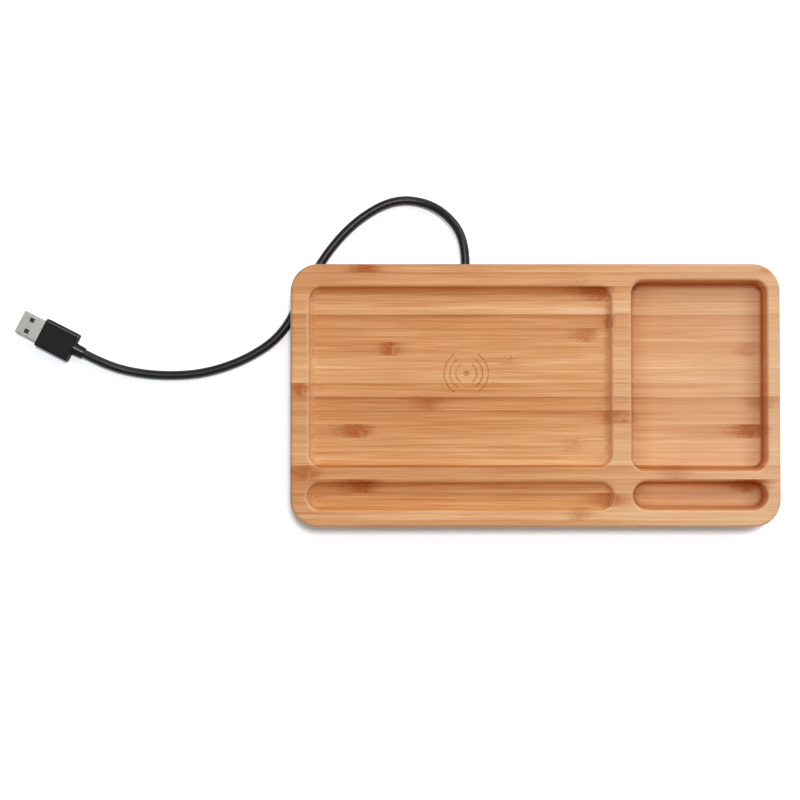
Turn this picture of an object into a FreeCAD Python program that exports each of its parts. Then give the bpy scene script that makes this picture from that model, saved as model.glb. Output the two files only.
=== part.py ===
import FreeCAD, Part
import math
import os
import Sketcher

# A desk tray of glued bamboo with four milled compartments. A wireless charger lies in a covered cavity
# below the phone bay, and its captive lead leaves the rear edge and ends in a flat plug.
# Millimetres. +X points right, +Y to the rear, +Z up. The origin is on the desk, below the tray's centre.

Vector = FreeCAD.Vector

SIZES = {
    # The board and its rims, as seen from above
    "tray_length": 242.0,
    "tray_width": 130.0,
    "tray_thickness": 18.0,
    "tray_corner_radius": 13.5,
    "tray_edge_round": 1.2,
    "left_rim": 9.0,
    "right_rim": 6.3,
    "front_rim": 8.4,
    "phone_bay_rear_rim": 11.4,
    "side_bay_rear_rim": 8.1,
    "divider_width": 9.5,
    "phone_bay_bar": 7.6,
    "side_bay_bar": 5.2,
    # The compartments: drafted walls, a cove along the floor and an eased rim
    "side_bay_length": 67.4,
    "long_groove_width": 13.6,
    "short_groove_width": 14.3,
    "long_groove_reach": 1.0,
    "short_groove_setback": 0.6,
    "phone_bay_depth": 5.0,
    "side_bay_depth": 10.0,
    "long_groove_depth": 5.0,
    "short_groove_depth": 10.0,
    "bay_corner_radius": 6.2,
    "wall_draft_angle": 8.0,
    "phone_bay_cove_radius": 4.0,
    "side_bay_cove_radius": 2.5,
    "groove_cove_radius": 4.0,
    "compartment_rim_round": 1.6,
    # The rubber feet, each with a washer and a screw
    "foot_height": 6.0,
    "foot_diameter": 14.0,
    "foot_tread_diameter": 12.6,
    "foot_tread_chamfer": 0.6,
    "foot_inset": 21.0,
    "foot_recess_diameter": 8.2,
    "foot_recess_depth": 3.4,
    "foot_washer_diameter": 7.4,
    "foot_washer_thickness": 0.6,
    "foot_screw_head_diameter": 6.0,
    "foot_screw_head_height": 2.0,
    "foot_screw_head_chamfer": 0.7,
    "foot_screw_diameter": 3.0,
    "foot_screw_grip": 5.5,
    # The charger's cavity in the underside and the cover that closes it
    "cavity_web": 2.5,
    "cavity_margin": 3.0,
    "cavity_corner_radius": 10.0,
    "cable_room": 14.0,
    "cover_thickness": 2.0,
    "cover_ledge": 4.6,
    "cover_corner_radius": 8.0,
    "cover_gap": 0.25,
    "cover_screw_inset": 5.4,
    "cover_screw_head_diameter": 5.4,
    "cover_screw_diameter": 2.6,
    "cover_screw_length": 9.0,
    "screw_clearance": 0.1,
    # The flat spiral coil, its tape and its ferrite plate
    "coil_shift_right": 3.1,
    "coil_setback": 54.0,
    "coil_inner_radius": 10.2,
    "coil_pitch": 1.15,
    "coil_wire_width": 0.7,
    "coil_wire_height": 1.1,
    "tape_diameter": 45.5,
    "tape_thickness": 0.3,
    "ferrite_diameter": 48.0,
    "ferrite_thickness": 1.6,
    "ferrite_hole_diameter": 3.0,
    "coil_lead_diameter": 0.9,
    "coil_lead_drop": 2.5,
    # The charger's circuit board, carried on bosses of the cover
    "board_gap": 4.0,
    "board_width": 24.0,
    "board_length": 46.0,
    "board_thickness": 1.2,
    "board_corner_radius": 1.5,
    "board_boss_height": 1.5,
    "board_boss_diameter": 4.4,
    "board_screw_inset": 2.6,
    "board_screw_diameter": 1.6,
    "board_screw_head_diameter": 3.2,
    "board_screw_head_height": 1.1,
    "board_screw_grip": 2.6,
    "solder_inset": 6.5,
    "solder_spacing": 3.0,
    "controller_side": 6.0,
    "controller_height": 1.0,
    "transistor_width": 4.0,
    "transistor_length": 5.0,
    "transistor_height": 1.3,
    "resonant_capacitor_width": 5.0,
    "resonant_capacitor_length": 5.7,
    "resonant_capacitor_height": 2.1,
    "filter_capacitor_width": 1.6,
    "filter_capacitor_length": 3.2,
    "filter_capacitor_height": 1.5,
    # The lead inside the tray, with its bore, grommet and clamp
    "cable_diameter": 4.5,
    "cable_rise": 4.4,
    "bore_clearance": 1.0,
    "grommet_diameter": 6.2,
    "grommet_length": 6.0,
    "grommet_chamfer": 0.4,
    "clamp_length": 16.0,
    "clamp_width": 5.0,
    "clamp_height": 2.9,
    "clamp_setback": 2.0,
    "clamp_screw_spacing": 11.0,
    "clamp_screw_head_diameter": 3.0,
    "clamp_screw_head_height": 0.9,
    "clamp_screw_grip": 2.6,
    "sheath_end": 1.0,
    "power_wire_diameter": 1.3,
    "power_wire_spacing": 1.7,
    "power_wire_turn": 4.6,
    "power_wire_rise": 2.1,
    # The plug on the lead's far end
    "plug_body_length": 18.2,
    "plug_body_width": 15.0,
    "plug_body_height": 7.6,
    "plug_body_edge": 1.4,
    "plug_end_edge": 0.5,
    "plug_neck_length": 5.6,
    "plug_neck_diameter": 6.2,
    "plug_neck_end_diameter": 5.6,
    "shell_length": 17.0,
    "shell_reach": 11.9,
    "shell_width": 12.0,
    "shell_height": 4.5,
    "shell_wall": 0.3,
    "shell_corner_radius": 0.55,
    "shell_window_length": 2.4,
    "shell_window_width": 2.3,
    "shell_window_spacing": 6.2,
    "shell_window_setback": 5.3,
    "tongue_clearance": 0.05,
    "tongue_setback": 0.4,
    "tongue_block": 5.8,
    "contact_width": 1.0,
    "contact_thickness": 0.25,
    "contact_length": 8.0,
    "contact_setback": 1.2,
    "contact_inner_spacing": 2.0,
    "contact_outer_spacing": 7.0,
    # One overrun for every cut that passes right through
    "cut_overrun": 1.0,
}

PLACES = {
    # Heights above the desk
    "underside": "Sizes.foot_height",
    "rim": "Places.underside + Sizes.tray_thickness",
    "cover_inside": "Places.underside + Sizes.cover_thickness",
    "phone_bay_floor": "Places.rim - Sizes.phone_bay_depth",
    "cavity_roof": "Places.phone_bay_floor - Sizes.cavity_web",
    "coil_top": "Places.cavity_roof - Sizes.tape_thickness",
    "coil_middle": "Places.coil_top - Sizes.coil_wire_height / 2",
    "ferrite_top": "Places.coil_top - Sizes.coil_wire_height",
    "ferrite_bottom": "Places.ferrite_top - Sizes.ferrite_thickness",
    "board_bottom": "Places.cover_inside + Sizes.board_boss_height",
    "board_top": "Places.board_bottom + Sizes.board_thickness",
    "cable_height": "Places.underside + Sizes.cable_rise",
    # Edges of the compartments
    "rear_face": "Sizes.tray_width / 2",
    "phone_bay_left": "Sizes.left_rim - Sizes.tray_length / 2",
    "side_bay_right": "Sizes.tray_length / 2 - Sizes.right_rim",
    "side_bay_left": "Places.side_bay_right - Sizes.side_bay_length",
    "phone_bay_right": "Places.side_bay_left - Sizes.divider_width",
    "phone_bay_rear": "Places.rear_face - Sizes.phone_bay_rear_rim",
    "side_bay_rear": "Places.rear_face - Sizes.side_bay_rear_rim",
    "groove_front": "Sizes.front_rim - Places.rear_face",
    "long_groove_rear": "Places.groove_front + Sizes.long_groove_width",
    "short_groove_rear": "Places.groove_front + Sizes.short_groove_width",
    "phone_bay_front": "Places.long_groove_rear + Sizes.phone_bay_bar",
    "side_bay_front": "Places.short_groove_rear + Sizes.side_bay_bar",
    "long_groove_left": "Places.phone_bay_left - Sizes.long_groove_reach",
    "long_groove_right": "Places.phone_bay_right + Sizes.long_groove_reach",
    "short_groove_left": "Places.side_bay_left + Sizes.short_groove_setback",
    "short_groove_right": "Places.side_bay_right",
    # The charger follows the middle of the phone bay along X and the rear face, where its lead leaves, along Y
    "coil_x": "(Places.phone_bay_left + Places.phone_bay_right) / 2 + Sizes.coil_shift_right",
    "coil_y": "Places.rear_face - Sizes.coil_setback",
    "board_left": "Places.coil_x + Sizes.ferrite_diameter / 2 + Sizes.board_gap",
    "board_x": "Places.board_left + Sizes.board_width / 2",
    "board_rear": "Places.coil_y + Sizes.board_length / 2",
    "cavity_left": "Places.coil_x - Sizes.ferrite_diameter / 2 - Sizes.cavity_margin",
    "cavity_right": "Places.board_left + Sizes.board_width + Sizes.cavity_margin",
    "cavity_front": "Places.coil_y - Sizes.ferrite_diameter / 2 - Sizes.cavity_margin",
    "cavity_rear": "Places.coil_y + Sizes.ferrite_diameter / 2 + Sizes.cable_room",
    "cavity_x": "(Places.cavity_left + Places.cavity_right) / 2",
    "cavity_y": "(Places.cavity_front + Places.cavity_rear) / 2",
    "cavity_length": "Places.cavity_right - Places.cavity_left",
    "cavity_width": "Places.cavity_rear - Places.cavity_front",
    "cover_length": "Places.cavity_length + 2 * Sizes.cover_ledge",
    "cover_width": "Places.cavity_width + 2 * Sizes.cover_ledge",
    "clamp_y": "Places.cavity_rear - Sizes.clamp_setback - Sizes.clamp_width / 2",
    "sheath_front": "Places.clamp_y - Sizes.clamp_width / 2 - Sizes.sheath_end",
    # Spacings of the fasteners
    "foot_x": "Sizes.tray_length / 2 - Sizes.foot_inset",
    "foot_y": "Places.rear_face - Sizes.foot_inset",
    "cover_screw_x": "Places.cover_length / 2 - Sizes.cover_screw_inset",
    "cover_screw_y": "Places.cover_width / 2 - Sizes.cover_screw_inset",
    "board_screw_x": "Sizes.board_width / 2 - Sizes.board_screw_inset",
    "board_screw_y": "Sizes.board_length / 2 - Sizes.board_screw_inset",
}

# Left, right, front and rear edge and cove of each compartment
COMPARTMENTS = {
    "phone_bay": ("phone_bay_left", "phone_bay_right", "phone_bay_front", "phone_bay_rear",
                  "phone_bay_cove_radius"),
    "side_bay": ("side_bay_left", "side_bay_right", "side_bay_front", "side_bay_rear",
                 "side_bay_cove_radius"),
    "long_groove": ("long_groove_left", "long_groove_right", "groove_front", "long_groove_rear",
                    "groove_cove_radius"),
    "short_groove": ("short_groove_left", "short_groove_right", "groove_front", "short_groove_rear",
                     "groove_cove_radius"),
}

COIL_TURNS = 10

# Middles of the board's components, as shares of its width and length from its front left corner
CONTROLLER_SHARES = [(0.50, 0.66)]
TRANSISTOR_SHARES = [(0.16, 0.48), (0.39, 0.48), (0.62, 0.48), (0.85, 0.48)]
RESONANT_CAPACITOR_SHARES = [(0.47, 0.16), (0.76, 0.16), (0.47, 0.30), (0.76, 0.30)]
FILTER_CAPACITOR_SHARES = [(0.18, 0.62), (0.18, 0.70), (0.82, 0.62), (0.82, 0.70), (0.60, 0.80),
                           (0.82, 0.80), (0.60, 0.88), (0.18, 0.28)]

# The lead's route behind and below the tray, from its exit: right, rear and height above the desk. It drops
# to the desk in a loop, passes below the rear left corner and runs on to the plug.
CABLE_ROUTE_START = [(0.0, 0.0), (0.0, 11.5)]
CABLE_ROUTE = [
    (-6.3, 24.2, 6.9),
    (-18.8, 33.6, 2.35),
    (-36.2, 35.2, 2.35),
    (-54.8, 24.7, 2.35),
    (-70.5, 7.5, 2.35),
    (-82.0, -13.4, 2.35),
    (-92.2, -33.8, 2.35),
    (-110.0, -46.1, 2.35),
    (-131.0, -53.3, 2.35),
    (-150.0, -54.7, 2.35),
    (-167.2, -53.1, 2.6),
]
CABLE_ROUTE_END = [(-181.6, -49.1), (-192.9, -43.3)]

# A round corner of a tube takes this share of the shorter of its two runs
RUN_SHARE = 0.45

doc = FreeCAD.newDocument("ChargingTray")


def add_sheet(name, cells):
    """A spreadsheet with one named cell in each row."""
    sheet = doc.addObject("Spreadsheet::Sheet", name)
    for row, (alias, content) in enumerate(cells.items(), start=1):
        sheet.set(f"A{row}", alias)
        sheet.set(f"B{row}", str(content))
        sheet.setAlias(f"B{row}", alias)
    doc.recompute()
    return sheet


sizes = add_sheet("Sizes", SIZES)
add_sheet("Places", {alias: "=" + formula.replace("Places.", "") for alias, formula in PLACES.items()})


def number(expression):
    """The present value of an expression in the sheets' names."""
    return float(sizes.evalExpression(expression))


def new_body(label, x="0", y="0", z="0"):
    """An empty body whose own origin stands at the given place."""
    body = doc.addObject("PartDesign::Body", label)
    body.Label = label
    for axis, place in zip("xyz", (x, y, z)):
        body.setExpression(f"Placement.Base.{axis}", place)
    return body


def new_sketch(body, role, x="0", y="0", z="0"):
    """A sketch parallel to one of the body's planes, with its origin at the given place in the body."""
    sketch = body.newObject("Sketcher::SketchObject", body.Label + "_sketch")
    plane = next(feature for feature in body.Origin.OriginFeatures if feature.Role == role)
    sketch.AttachmentSupport = [(plane, "")]
    sketch.MapMode = "FlatFace"
    offsets = {"XY_Plane": (x, y, z), "XZ_Plane": (x, z, f"-({y})"), "YZ_Plane": (y, z, x)}[role]
    for axis, offset in zip("xyz", offsets):
        sketch.setExpression(f"AttachmentOffset.Base.{axis}", offset)
    return sketch


def bind(sketch, kind, *where, size):
    """A dimension of a sketch that follows an expression."""
    index = sketch.addConstraint(Sketcher.Constraint(kind, *where, number(size)))
    sketch.renameConstraint(index, f"size{index}")
    sketch.setExpression(f"Constraints.size{index}", size)


def draw_circle(sketch, diameter, x="0", y="0"):
    """A circle about a point of the sketch."""
    middle = Vector(number(x), number(y), 0)
    circle = sketch.addGeometry(Part.Circle(middle, Vector(0, 0, 1), number(diameter) / 2))
    bind(sketch, "Diameter", circle, size=diameter)
    bind(sketch, "DistanceX", -1, 1, circle, 3, size=x)
    bind(sketch, "DistanceY", -1, 1, circle, 3, size=y)


def draw_outline(sketch, corners):
    """A closed outline of straight edges through corners given as pairs of expressions."""
    points = [Vector(number(across), number(up), 0) for across, up in corners]
    edges = [sketch.addGeometry(Part.LineSegment(start, end))
             for start, end in zip(points, points[1:] + points[:1])]
    for edge, following in zip(edges, edges[1:] + edges[:1]):
        sketch.addConstraint(Sketcher.Constraint("Coincident", edge, 2, following, 1))
    for edge, (across, up) in zip(edges, corners):
        bind(sketch, "DistanceX", -1, 1, edge, 1, size=across)
        bind(sketch, "DistanceY", -1, 1, edge, 1, size=up)


def draw_rectangle(sketch, length, width, x="0", y="0"):
    """A rectangle about a point of the sketch."""
    left, right = f"{x} - ({length}) / 2", f"{x} + ({length}) / 2"
    low, high = f"{y} - ({width}) / 2", f"{y} + ({width}) / 2"
    draw_outline(sketch, [(left, low), (right, low), (right, high), (left, high)])


def draw_rounded_rectangle(sketch, length, width, radius):
    """A rectangle with round corners, centred on the sketch's origin."""
    across, up, turn = number(length) / 2, number(width) / 2, number(radius)
    flat, rise = across - turn, up - turn
    ends = [((-flat, -up), (flat, -up)), ((across, -rise), (across, rise)),
            ((flat, up), (-flat, up)), ((-across, rise), (-across, -rise))]
    sides = [sketch.addGeometry(Part.LineSegment(Vector(*start, 0), Vector(*end, 0)))
             for start, end in ends]
    arcs = []
    for quarter, middle in enumerate([(flat, -rise), (flat, rise), (-flat, rise), (-flat, -rise)]):
        circle = Part.Circle(Vector(*middle, 0), Vector(0, 0, 1), turn)
        start = math.pi / 2 * (quarter - 1)
        arcs.append(sketch.addGeometry(Part.ArcOfCircle(circle, start, start + math.pi / 2)))
    for side, arc, following in zip(sides, arcs, sides[1:] + sides[:1]):
        sketch.addConstraint(Sketcher.Constraint("Tangent", side, 2, arc, 1))
        sketch.addConstraint(Sketcher.Constraint("Tangent", arc, 2, following, 1))
    for side, direction in zip(sides, ("Horizontal", "Vertical", "Horizontal", "Vertical")):
        sketch.addConstraint(Sketcher.Constraint(direction, side))
    for arc in arcs[1:]:
        sketch.addConstraint(Sketcher.Constraint("Equal", arcs[0], arc))
    sketch.addConstraint(Sketcher.Constraint("Symmetric", sides[0], 1, sides[2], 1, -1, 1))
    bind(sketch, "Radius", arcs[0], size=radius)
    bind(sketch, "DistanceX", sides[3], 1, sides[1], 1, size=length)
    bind(sketch, "DistanceY", sides[0], 1, sides[2], 1, size=width)


def draw_slot(sketch, length, width):
    """A slot with half-round ends, centred on the sketch's origin."""
    turn = number(width) / 2
    flat = number(length) / 2 - turn
    low = sketch.addGeometry(Part.LineSegment(Vector(-flat, -turn, 0), Vector(flat, -turn, 0)))
    high = sketch.addGeometry(Part.LineSegment(Vector(flat, turn, 0), Vector(-flat, turn, 0)))
    arcs = []
    for side, start in ((1, -math.pi / 2), (-1, math.pi / 2)):
        circle = Part.Circle(Vector(side * flat, 0, 0), Vector(0, 0, 1), turn)
        arcs.append(sketch.addGeometry(Part.ArcOfCircle(circle, start, start + math.pi)))
    for before, after in ((low, arcs[0]), (arcs[0], high), (high, arcs[1]), (arcs[1], low)):
        sketch.addConstraint(Sketcher.Constraint("Tangent", before, 2, after, 1))
    sketch.addConstraint(Sketcher.Constraint("Horizontal", low))
    sketch.addConstraint(Sketcher.Constraint("Equal", arcs[0], arcs[1]))
    sketch.addConstraint(Sketcher.Constraint("Symmetric", arcs[0], 3, arcs[1], 3, -1, 1))
    bind(sketch, "Radius", arcs[0], size=f"({width}) / 2")
    bind(sketch, "DistanceX", arcs[1], 3, arcs[0], 3, size=f"({length}) - ({width})")


def extrude(body, kind, sketch, length, along=True, draft=None, symmetric=False):
    """A Pad or Pocket of a sketch, along its normal or against it, with an optional draft."""
    feature = body.newObject("PartDesign::" + kind, body.Label + "_" + kind.lower())
    feature.Profile = sketch
    feature.setExpression("Length", length)
    feature.Reversed = along if kind == "Pocket" else not along
    if draft:
        feature.setExpression("TaperAngle", f"-({draft})")
    if symmetric:
        feature.SideType = "Symmetric"
    body.Tip = feature
    doc.recompute()
    return feature


def turn(body, corners, x="0", y="0", z="0"):
    """A turned solid: an outline of radius and height, revolved about an upright axis."""
    sketch = new_sketch(body, "XZ_Plane", x, y, z)
    draw_outline(sketch, corners)
    feature = body.newObject("PartDesign::Revolution", body.Label + "_turned")
    feature.Profile = sketch
    feature.ReferenceAxis = (sketch, ["V_Axis"])
    body.Tip = feature
    doc.recompute()
    return feature


def dress(body, kind, edges, size, amount):
    """A Fillet or Chamfer of named edges of the body's last feature."""
    base = body.Tip
    feature = body.newObject("PartDesign::" + kind, body.Label + "_" + kind.lower())
    feature.Base = (base, edges)
    feature.setExpression(size, amount)
    body.Tip = feature
    doc.recompute()
    return feature


def edges_on(shape, axis, level, keep=None):
    """Names of the edges that lie in the plane square to an axis at one level, if keep agrees to each."""
    slack = shape.getTolerance(1)
    names = []
    for index, edge in enumerate(shape.Edges, start=1):
        low, high = getattr(edge.BoundBox, axis + "Min"), getattr(edge.BoundBox, axis + "Max")
        if abs(low - level) < slack and abs(high - level) < slack and (keep is None or keep(edge)):
            names.append(f"Edge{index}")
    return names


def within(left, right, front, rear):
    """A test of whether an edge's middle is inside a window of x and y."""
    def keep(edge):
        middle = edge.BoundBox.Center
        return left < middle.x < right and front < middle.y < rear
    return keep


def four_places(x, y):
    """The four corners of a rectangle about the body's origin."""
    return [(f"{across} * {x}", f"{along} * {y}") for across in (-1, 1) for along in (-1, 1)]


def tube(points, diameter):
    """A round tube along straight runs, with each corner rounded as widely as its two runs allow."""
    edges = []
    radii = []
    start = points[0]
    for before, corner, after in zip(points, points[1:], points[2:]):
        inward = (before - corner).normalize()
        onward = (after - corner).normalize()
        half_turn = (math.pi - inward.getAngle(onward)) / 2
        tangent = RUN_SHARE * min((before - corner).Length, (after - corner).Length)
        radius = tangent / math.tan(half_turn)
        entry = corner + inward * tangent
        leave = corner + onward * tangent
        middle_line = (inward + onward).normalize()
        middle = corner + middle_line * (radius / math.cos(half_turn) - radius)
        edges.append(Part.LineSegment(start, entry).toShape())
        edges.append(Part.Arc(entry, middle, leave).toShape())
        radii.append(radius)
        start = leave
    edges.append(Part.LineSegment(start, points[-1]).toShape())
    path = Part.Wire(edges)
    circle = Part.Circle(points[0], points[1] - points[0], diameter / 2)
    solid = path.makePipeShell([Part.Wire([circle.toShape()])], True, False)
    section = math.pi * diameter ** 2 / 4
    return solid, path.Length, radii, solid.Volume / (section * path.Length)


def new_shape(label, shape):
    """A node whose solids come from a path."""
    node = doc.addObject("Part::Feature", label)
    node.Label = label
    node.Shape = shape
    node.Placement = FreeCAD.Placement()
    return node


def make_tray_body():
    """The glued board: round corners, four compartments above, the charger's cavity below."""
    body = new_body("tray_body")
    outline = new_sketch(body, "XY_Plane", z="Places.underside")
    draw_rounded_rectangle(outline, "Sizes.tray_length", "Sizes.tray_width", "Sizes.tray_corner_radius")
    extrude(body, "Pad", outline, "Sizes.tray_thickness")

    windows = {}
    for name, edges in COMPARTMENTS.items():
        left, right, front, rear = edges[:4]
        windows[name] = [number("Places." + edge) for edge in edges[:4]]
        length = f"(Places.{right} - Places.{left})"
        width = f"(Places.{rear} - Places.{front})"
        mouth = new_sketch(body, "XY_Plane", f"(Places.{left} + Places.{right}) / 2",
                           f"(Places.{front} + Places.{rear}) / 2", "Places.rim")
        if name.endswith("groove"):
            draw_slot(mouth, length, width)
        else:
            draw_rounded_rectangle(mouth, length, width, "Sizes.bay_corner_radius")
        extrude(body, "Pocket", mouth, f"Sizes.{name}_depth", along=False, draft="Sizes.wall_draft_angle")
    for name, window in windows.items():
        floor = number(f"Places.rim - Sizes.{name}_depth")
        cove = "Sizes." + COMPARTMENTS[name][-1]
        dress(body, "Fillet", edges_on(body.Tip.Shape, "Z", floor, within(*window)), "Radius", cove)

    rebate = new_sketch(body, "XY_Plane", "Places.cavity_x", "Places.cavity_y", "Places.underside")
    draw_rounded_rectangle(rebate, "Places.cover_length + 2 * Sizes.cover_gap",
                           "Places.cover_width + 2 * Sizes.cover_gap", "Sizes.cover_corner_radius")
    extrude(body, "Pocket", rebate, "Sizes.cover_thickness")
    cavity = new_sketch(body, "XY_Plane", "Places.cavity_x", "Places.cavity_y", "Places.underside")
    draw_rounded_rectangle(cavity, "Places.cavity_length", "Places.cavity_width",
                           "Sizes.cavity_corner_radius")
    extrude(body, "Pocket", cavity, "Places.cavity_roof - Places.underside")

    cover_pilots = new_sketch(body, "XY_Plane", "Places.cavity_x", "Places.cavity_y", "Places.underside")
    for x, y in four_places("Places.cover_screw_x", "Places.cover_screw_y"):
        draw_circle(cover_pilots, "Sizes.cover_screw_diameter + Sizes.screw_clearance", x, y)
    extrude(body, "Pocket", cover_pilots, "Sizes.cover_screw_length + Sizes.screw_clearance")
    foot_pilots = new_sketch(body, "XY_Plane", z="Places.underside")
    for x, y in four_places("Places.foot_x", "Places.foot_y"):
        draw_circle(foot_pilots, "Sizes.foot_screw_diameter + Sizes.screw_clearance", x, y)
    extrude(body, "Pocket", foot_pilots, "Sizes.foot_screw_grip + Sizes.screw_clearance")

    bore = new_sketch(body, "XZ_Plane", "Places.coil_x", "Places.rear_face", "Places.cable_height")
    draw_circle(bore, "Sizes.cable_diameter + Sizes.bore_clearance")
    extrude(body, "Pocket", bore, "Places.rear_face - Places.cavity_rear + Sizes.cut_overrun")
    seat = new_sketch(body, "XZ_Plane", "Places.coil_x", "Places.rear_face", "Places.cable_height")
    draw_circle(seat, "Sizes.grommet_diameter")
    extrude(body, "Pocket", seat, "Sizes.grommet_length")

    rim, underside = number("Places.rim"), number("Places.underside")
    inside = within(number("Places.phone_bay_left - Sizes.left_rim / 2"),
                    number("Places.side_bay_right + Sizes.right_rim / 2"),
                    number("Places.groove_front - Sizes.front_rim / 2"),
                    number("Places.side_bay_rear + Sizes.side_bay_rear_rim / 2"))
    mouths = edges_on(body.Tip.Shape, "Z", rim, inside)
    dress(body, "Fillet", mouths, "Radius", "Sizes.compartment_rim_round")
    outer = edges_on(body.Tip.Shape, "Z", rim, lambda edge: not inside(edge))
    outer += edges_on(body.Tip.Shape, "Z", underside, lambda edge: not inside(edge))
    dress(body, "Fillet", outer, "Radius", "Sizes.tray_edge_round")
    return body


def make_feet():
    """Four tapered rubber feet, each recessed for its washer and screw."""
    tread = "Sizes.foot_tread_diameter / 2"
    recess = "Sizes.foot_recess_diameter / 2"
    hole = "(Sizes.foot_screw_diameter + Sizes.screw_clearance) / 2"
    profile = [(recess, "0"), (f"{tread} - Sizes.foot_tread_chamfer", "0"),
               (tread, "Sizes.foot_tread_chamfer"), ("Sizes.foot_diameter / 2", "Sizes.foot_height"),
               (hole, "Sizes.foot_height"), (hole, "Sizes.foot_recess_depth"),
               (recess, "Sizes.foot_recess_depth")]
    nodes = []
    for side, across in (("left", -1), ("right", 1)):
        for end, along in (("front", -1), ("rear", 1)):
            foot = new_body(f"foot_{end}_{side}", f"{across} * Places.foot_x", f"{along} * Places.foot_y")
            turn(foot, profile)
            nodes.append(foot)

    washers = new_body("foot_washers")
    rim = "Sizes.foot_washer_diameter / 2"
    for x, y in four_places("Places.foot_x", "Places.foot_y"):
        turn(washers, [(hole, "0"), (rim, "0"), (rim, "Sizes.foot_washer_thickness"),
                       (hole, "Sizes.foot_washer_thickness")],
             x, y, "Sizes.foot_recess_depth - Sizes.foot_washer_thickness")

    screws = new_body("foot_screws")
    head = "Sizes.foot_screw_head_diameter / 2"
    shank = "Sizes.foot_screw_diameter / 2"
    tall = "Sizes.foot_screw_head_height"
    seat = f"Sizes.foot_recess_depth - Sizes.foot_washer_thickness - {tall}"
    tip = f"(Sizes.foot_height + Sizes.foot_screw_grip - ({seat}))"
    for x, y in four_places("Places.foot_x", "Places.foot_y"):
        turn(screws, [("0", "0"), (f"{head} - Sizes.foot_screw_head_chamfer", "0"),
                      (head, "Sizes.foot_screw_head_chamfer"), (head, tall), (shank, tall),
                      (shank, f"{tip} - {shank}"), ("0", tip)], x, y, seat)
    return nodes + [washers, screws]


def make_bottom_cover():
    """The moulded cover, flush with the underside, with board bosses and the cable's saddle."""
    body = new_body("bottom_cover", "Places.cavity_x", "Places.cavity_y", "Places.underside")
    plate = new_sketch(body, "XY_Plane")
    draw_rounded_rectangle(plate, "Places.cover_length", "Places.cover_width",
                           "Sizes.cover_corner_radius - Sizes.cover_gap")
    extrude(body, "Pad", plate, "Sizes.cover_thickness")

    board_x = "(Places.board_x - Places.cavity_x)"
    board_y = "(Places.coil_y - Places.cavity_y)"
    bosses = new_sketch(body, "XY_Plane", board_x, board_y, "Sizes.cover_thickness")
    for x, y in four_places("Places.board_screw_x", "Places.board_screw_y"):
        draw_circle(bosses, "Sizes.board_boss_diameter", x, y)
    extrude(body, "Pad", bosses, "Sizes.board_boss_height")
    saddle_x = "(Places.coil_x - Places.cavity_x)"
    saddle_y = "(Places.clamp_y - Places.cavity_y)"
    saddle = new_sketch(body, "XY_Plane", saddle_x, saddle_y, "Sizes.cover_thickness")
    draw_rectangle(saddle, "Sizes.clamp_length", "Sizes.clamp_width")
    extrude(body, "Pad", saddle, "Sizes.cable_rise - Sizes.cover_thickness")
    trough = new_sketch(body, "XZ_Plane", saddle_x, saddle_y, "Sizes.cable_rise")
    draw_circle(trough, "Sizes.cable_diameter + Sizes.screw_clearance")
    extrude(body, "Pocket", trough, "Sizes.clamp_width + Sizes.cut_overrun", symmetric=True)

    pilot = "Sizes.board_screw_diameter + Sizes.screw_clearance"
    board_pilots = new_sketch(body, "XY_Plane", board_x, board_y,
                              "Sizes.cover_thickness + Sizes.board_boss_height")
    for x, y in four_places("Places.board_screw_x", "Places.board_screw_y"):
        draw_circle(board_pilots, pilot, x, y)
    extrude(body, "Pocket", board_pilots, "Sizes.board_screw_grip + Sizes.screw_clearance", along=False)
    clamp_pilots = new_sketch(body, "XY_Plane", saddle_x, saddle_y, "Sizes.cable_rise")
    for side in (-1, 1):
        draw_circle(clamp_pilots, pilot, f"{side} * Sizes.clamp_screw_spacing / 2")
    extrude(body, "Pocket", clamp_pilots, "Sizes.clamp_screw_grip + Sizes.screw_clearance", along=False)

    holes = new_sketch(body, "XY_Plane")
    for x, y in four_places("Places.cover_screw_x", "Places.cover_screw_y"):
        draw_circle(holes, "Sizes.cover_screw_diameter + Sizes.screw_clearance", x, y)
    extrude(body, "Pocket", holes, "Sizes.cover_thickness")
    mouths = edges_on(body.Tip.Shape, "Z", 0, lambda edge: edge.isClosed())
    dress(body, "Chamfer", mouths, "Size",
          "(Sizes.cover_screw_head_diameter - Sizes.cover_screw_diameter) / 2")

    screws = new_body("cover_screws", "Places.cavity_x", "Places.cavity_y", "Places.underside")
    head = "Sizes.cover_screw_head_diameter / 2"
    shank = "Sizes.cover_screw_diameter / 2"
    for x, y in four_places("Places.cover_screw_x", "Places.cover_screw_y"):
        turn(screws, [("0", "0"), (head, "0"), (shank, f"{head} - {shank}"),
                      (shank, f"Sizes.cover_screw_length - {shank}"),
                      ("0", "Sizes.cover_screw_length")], x, y)
    return [body, screws]


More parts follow.
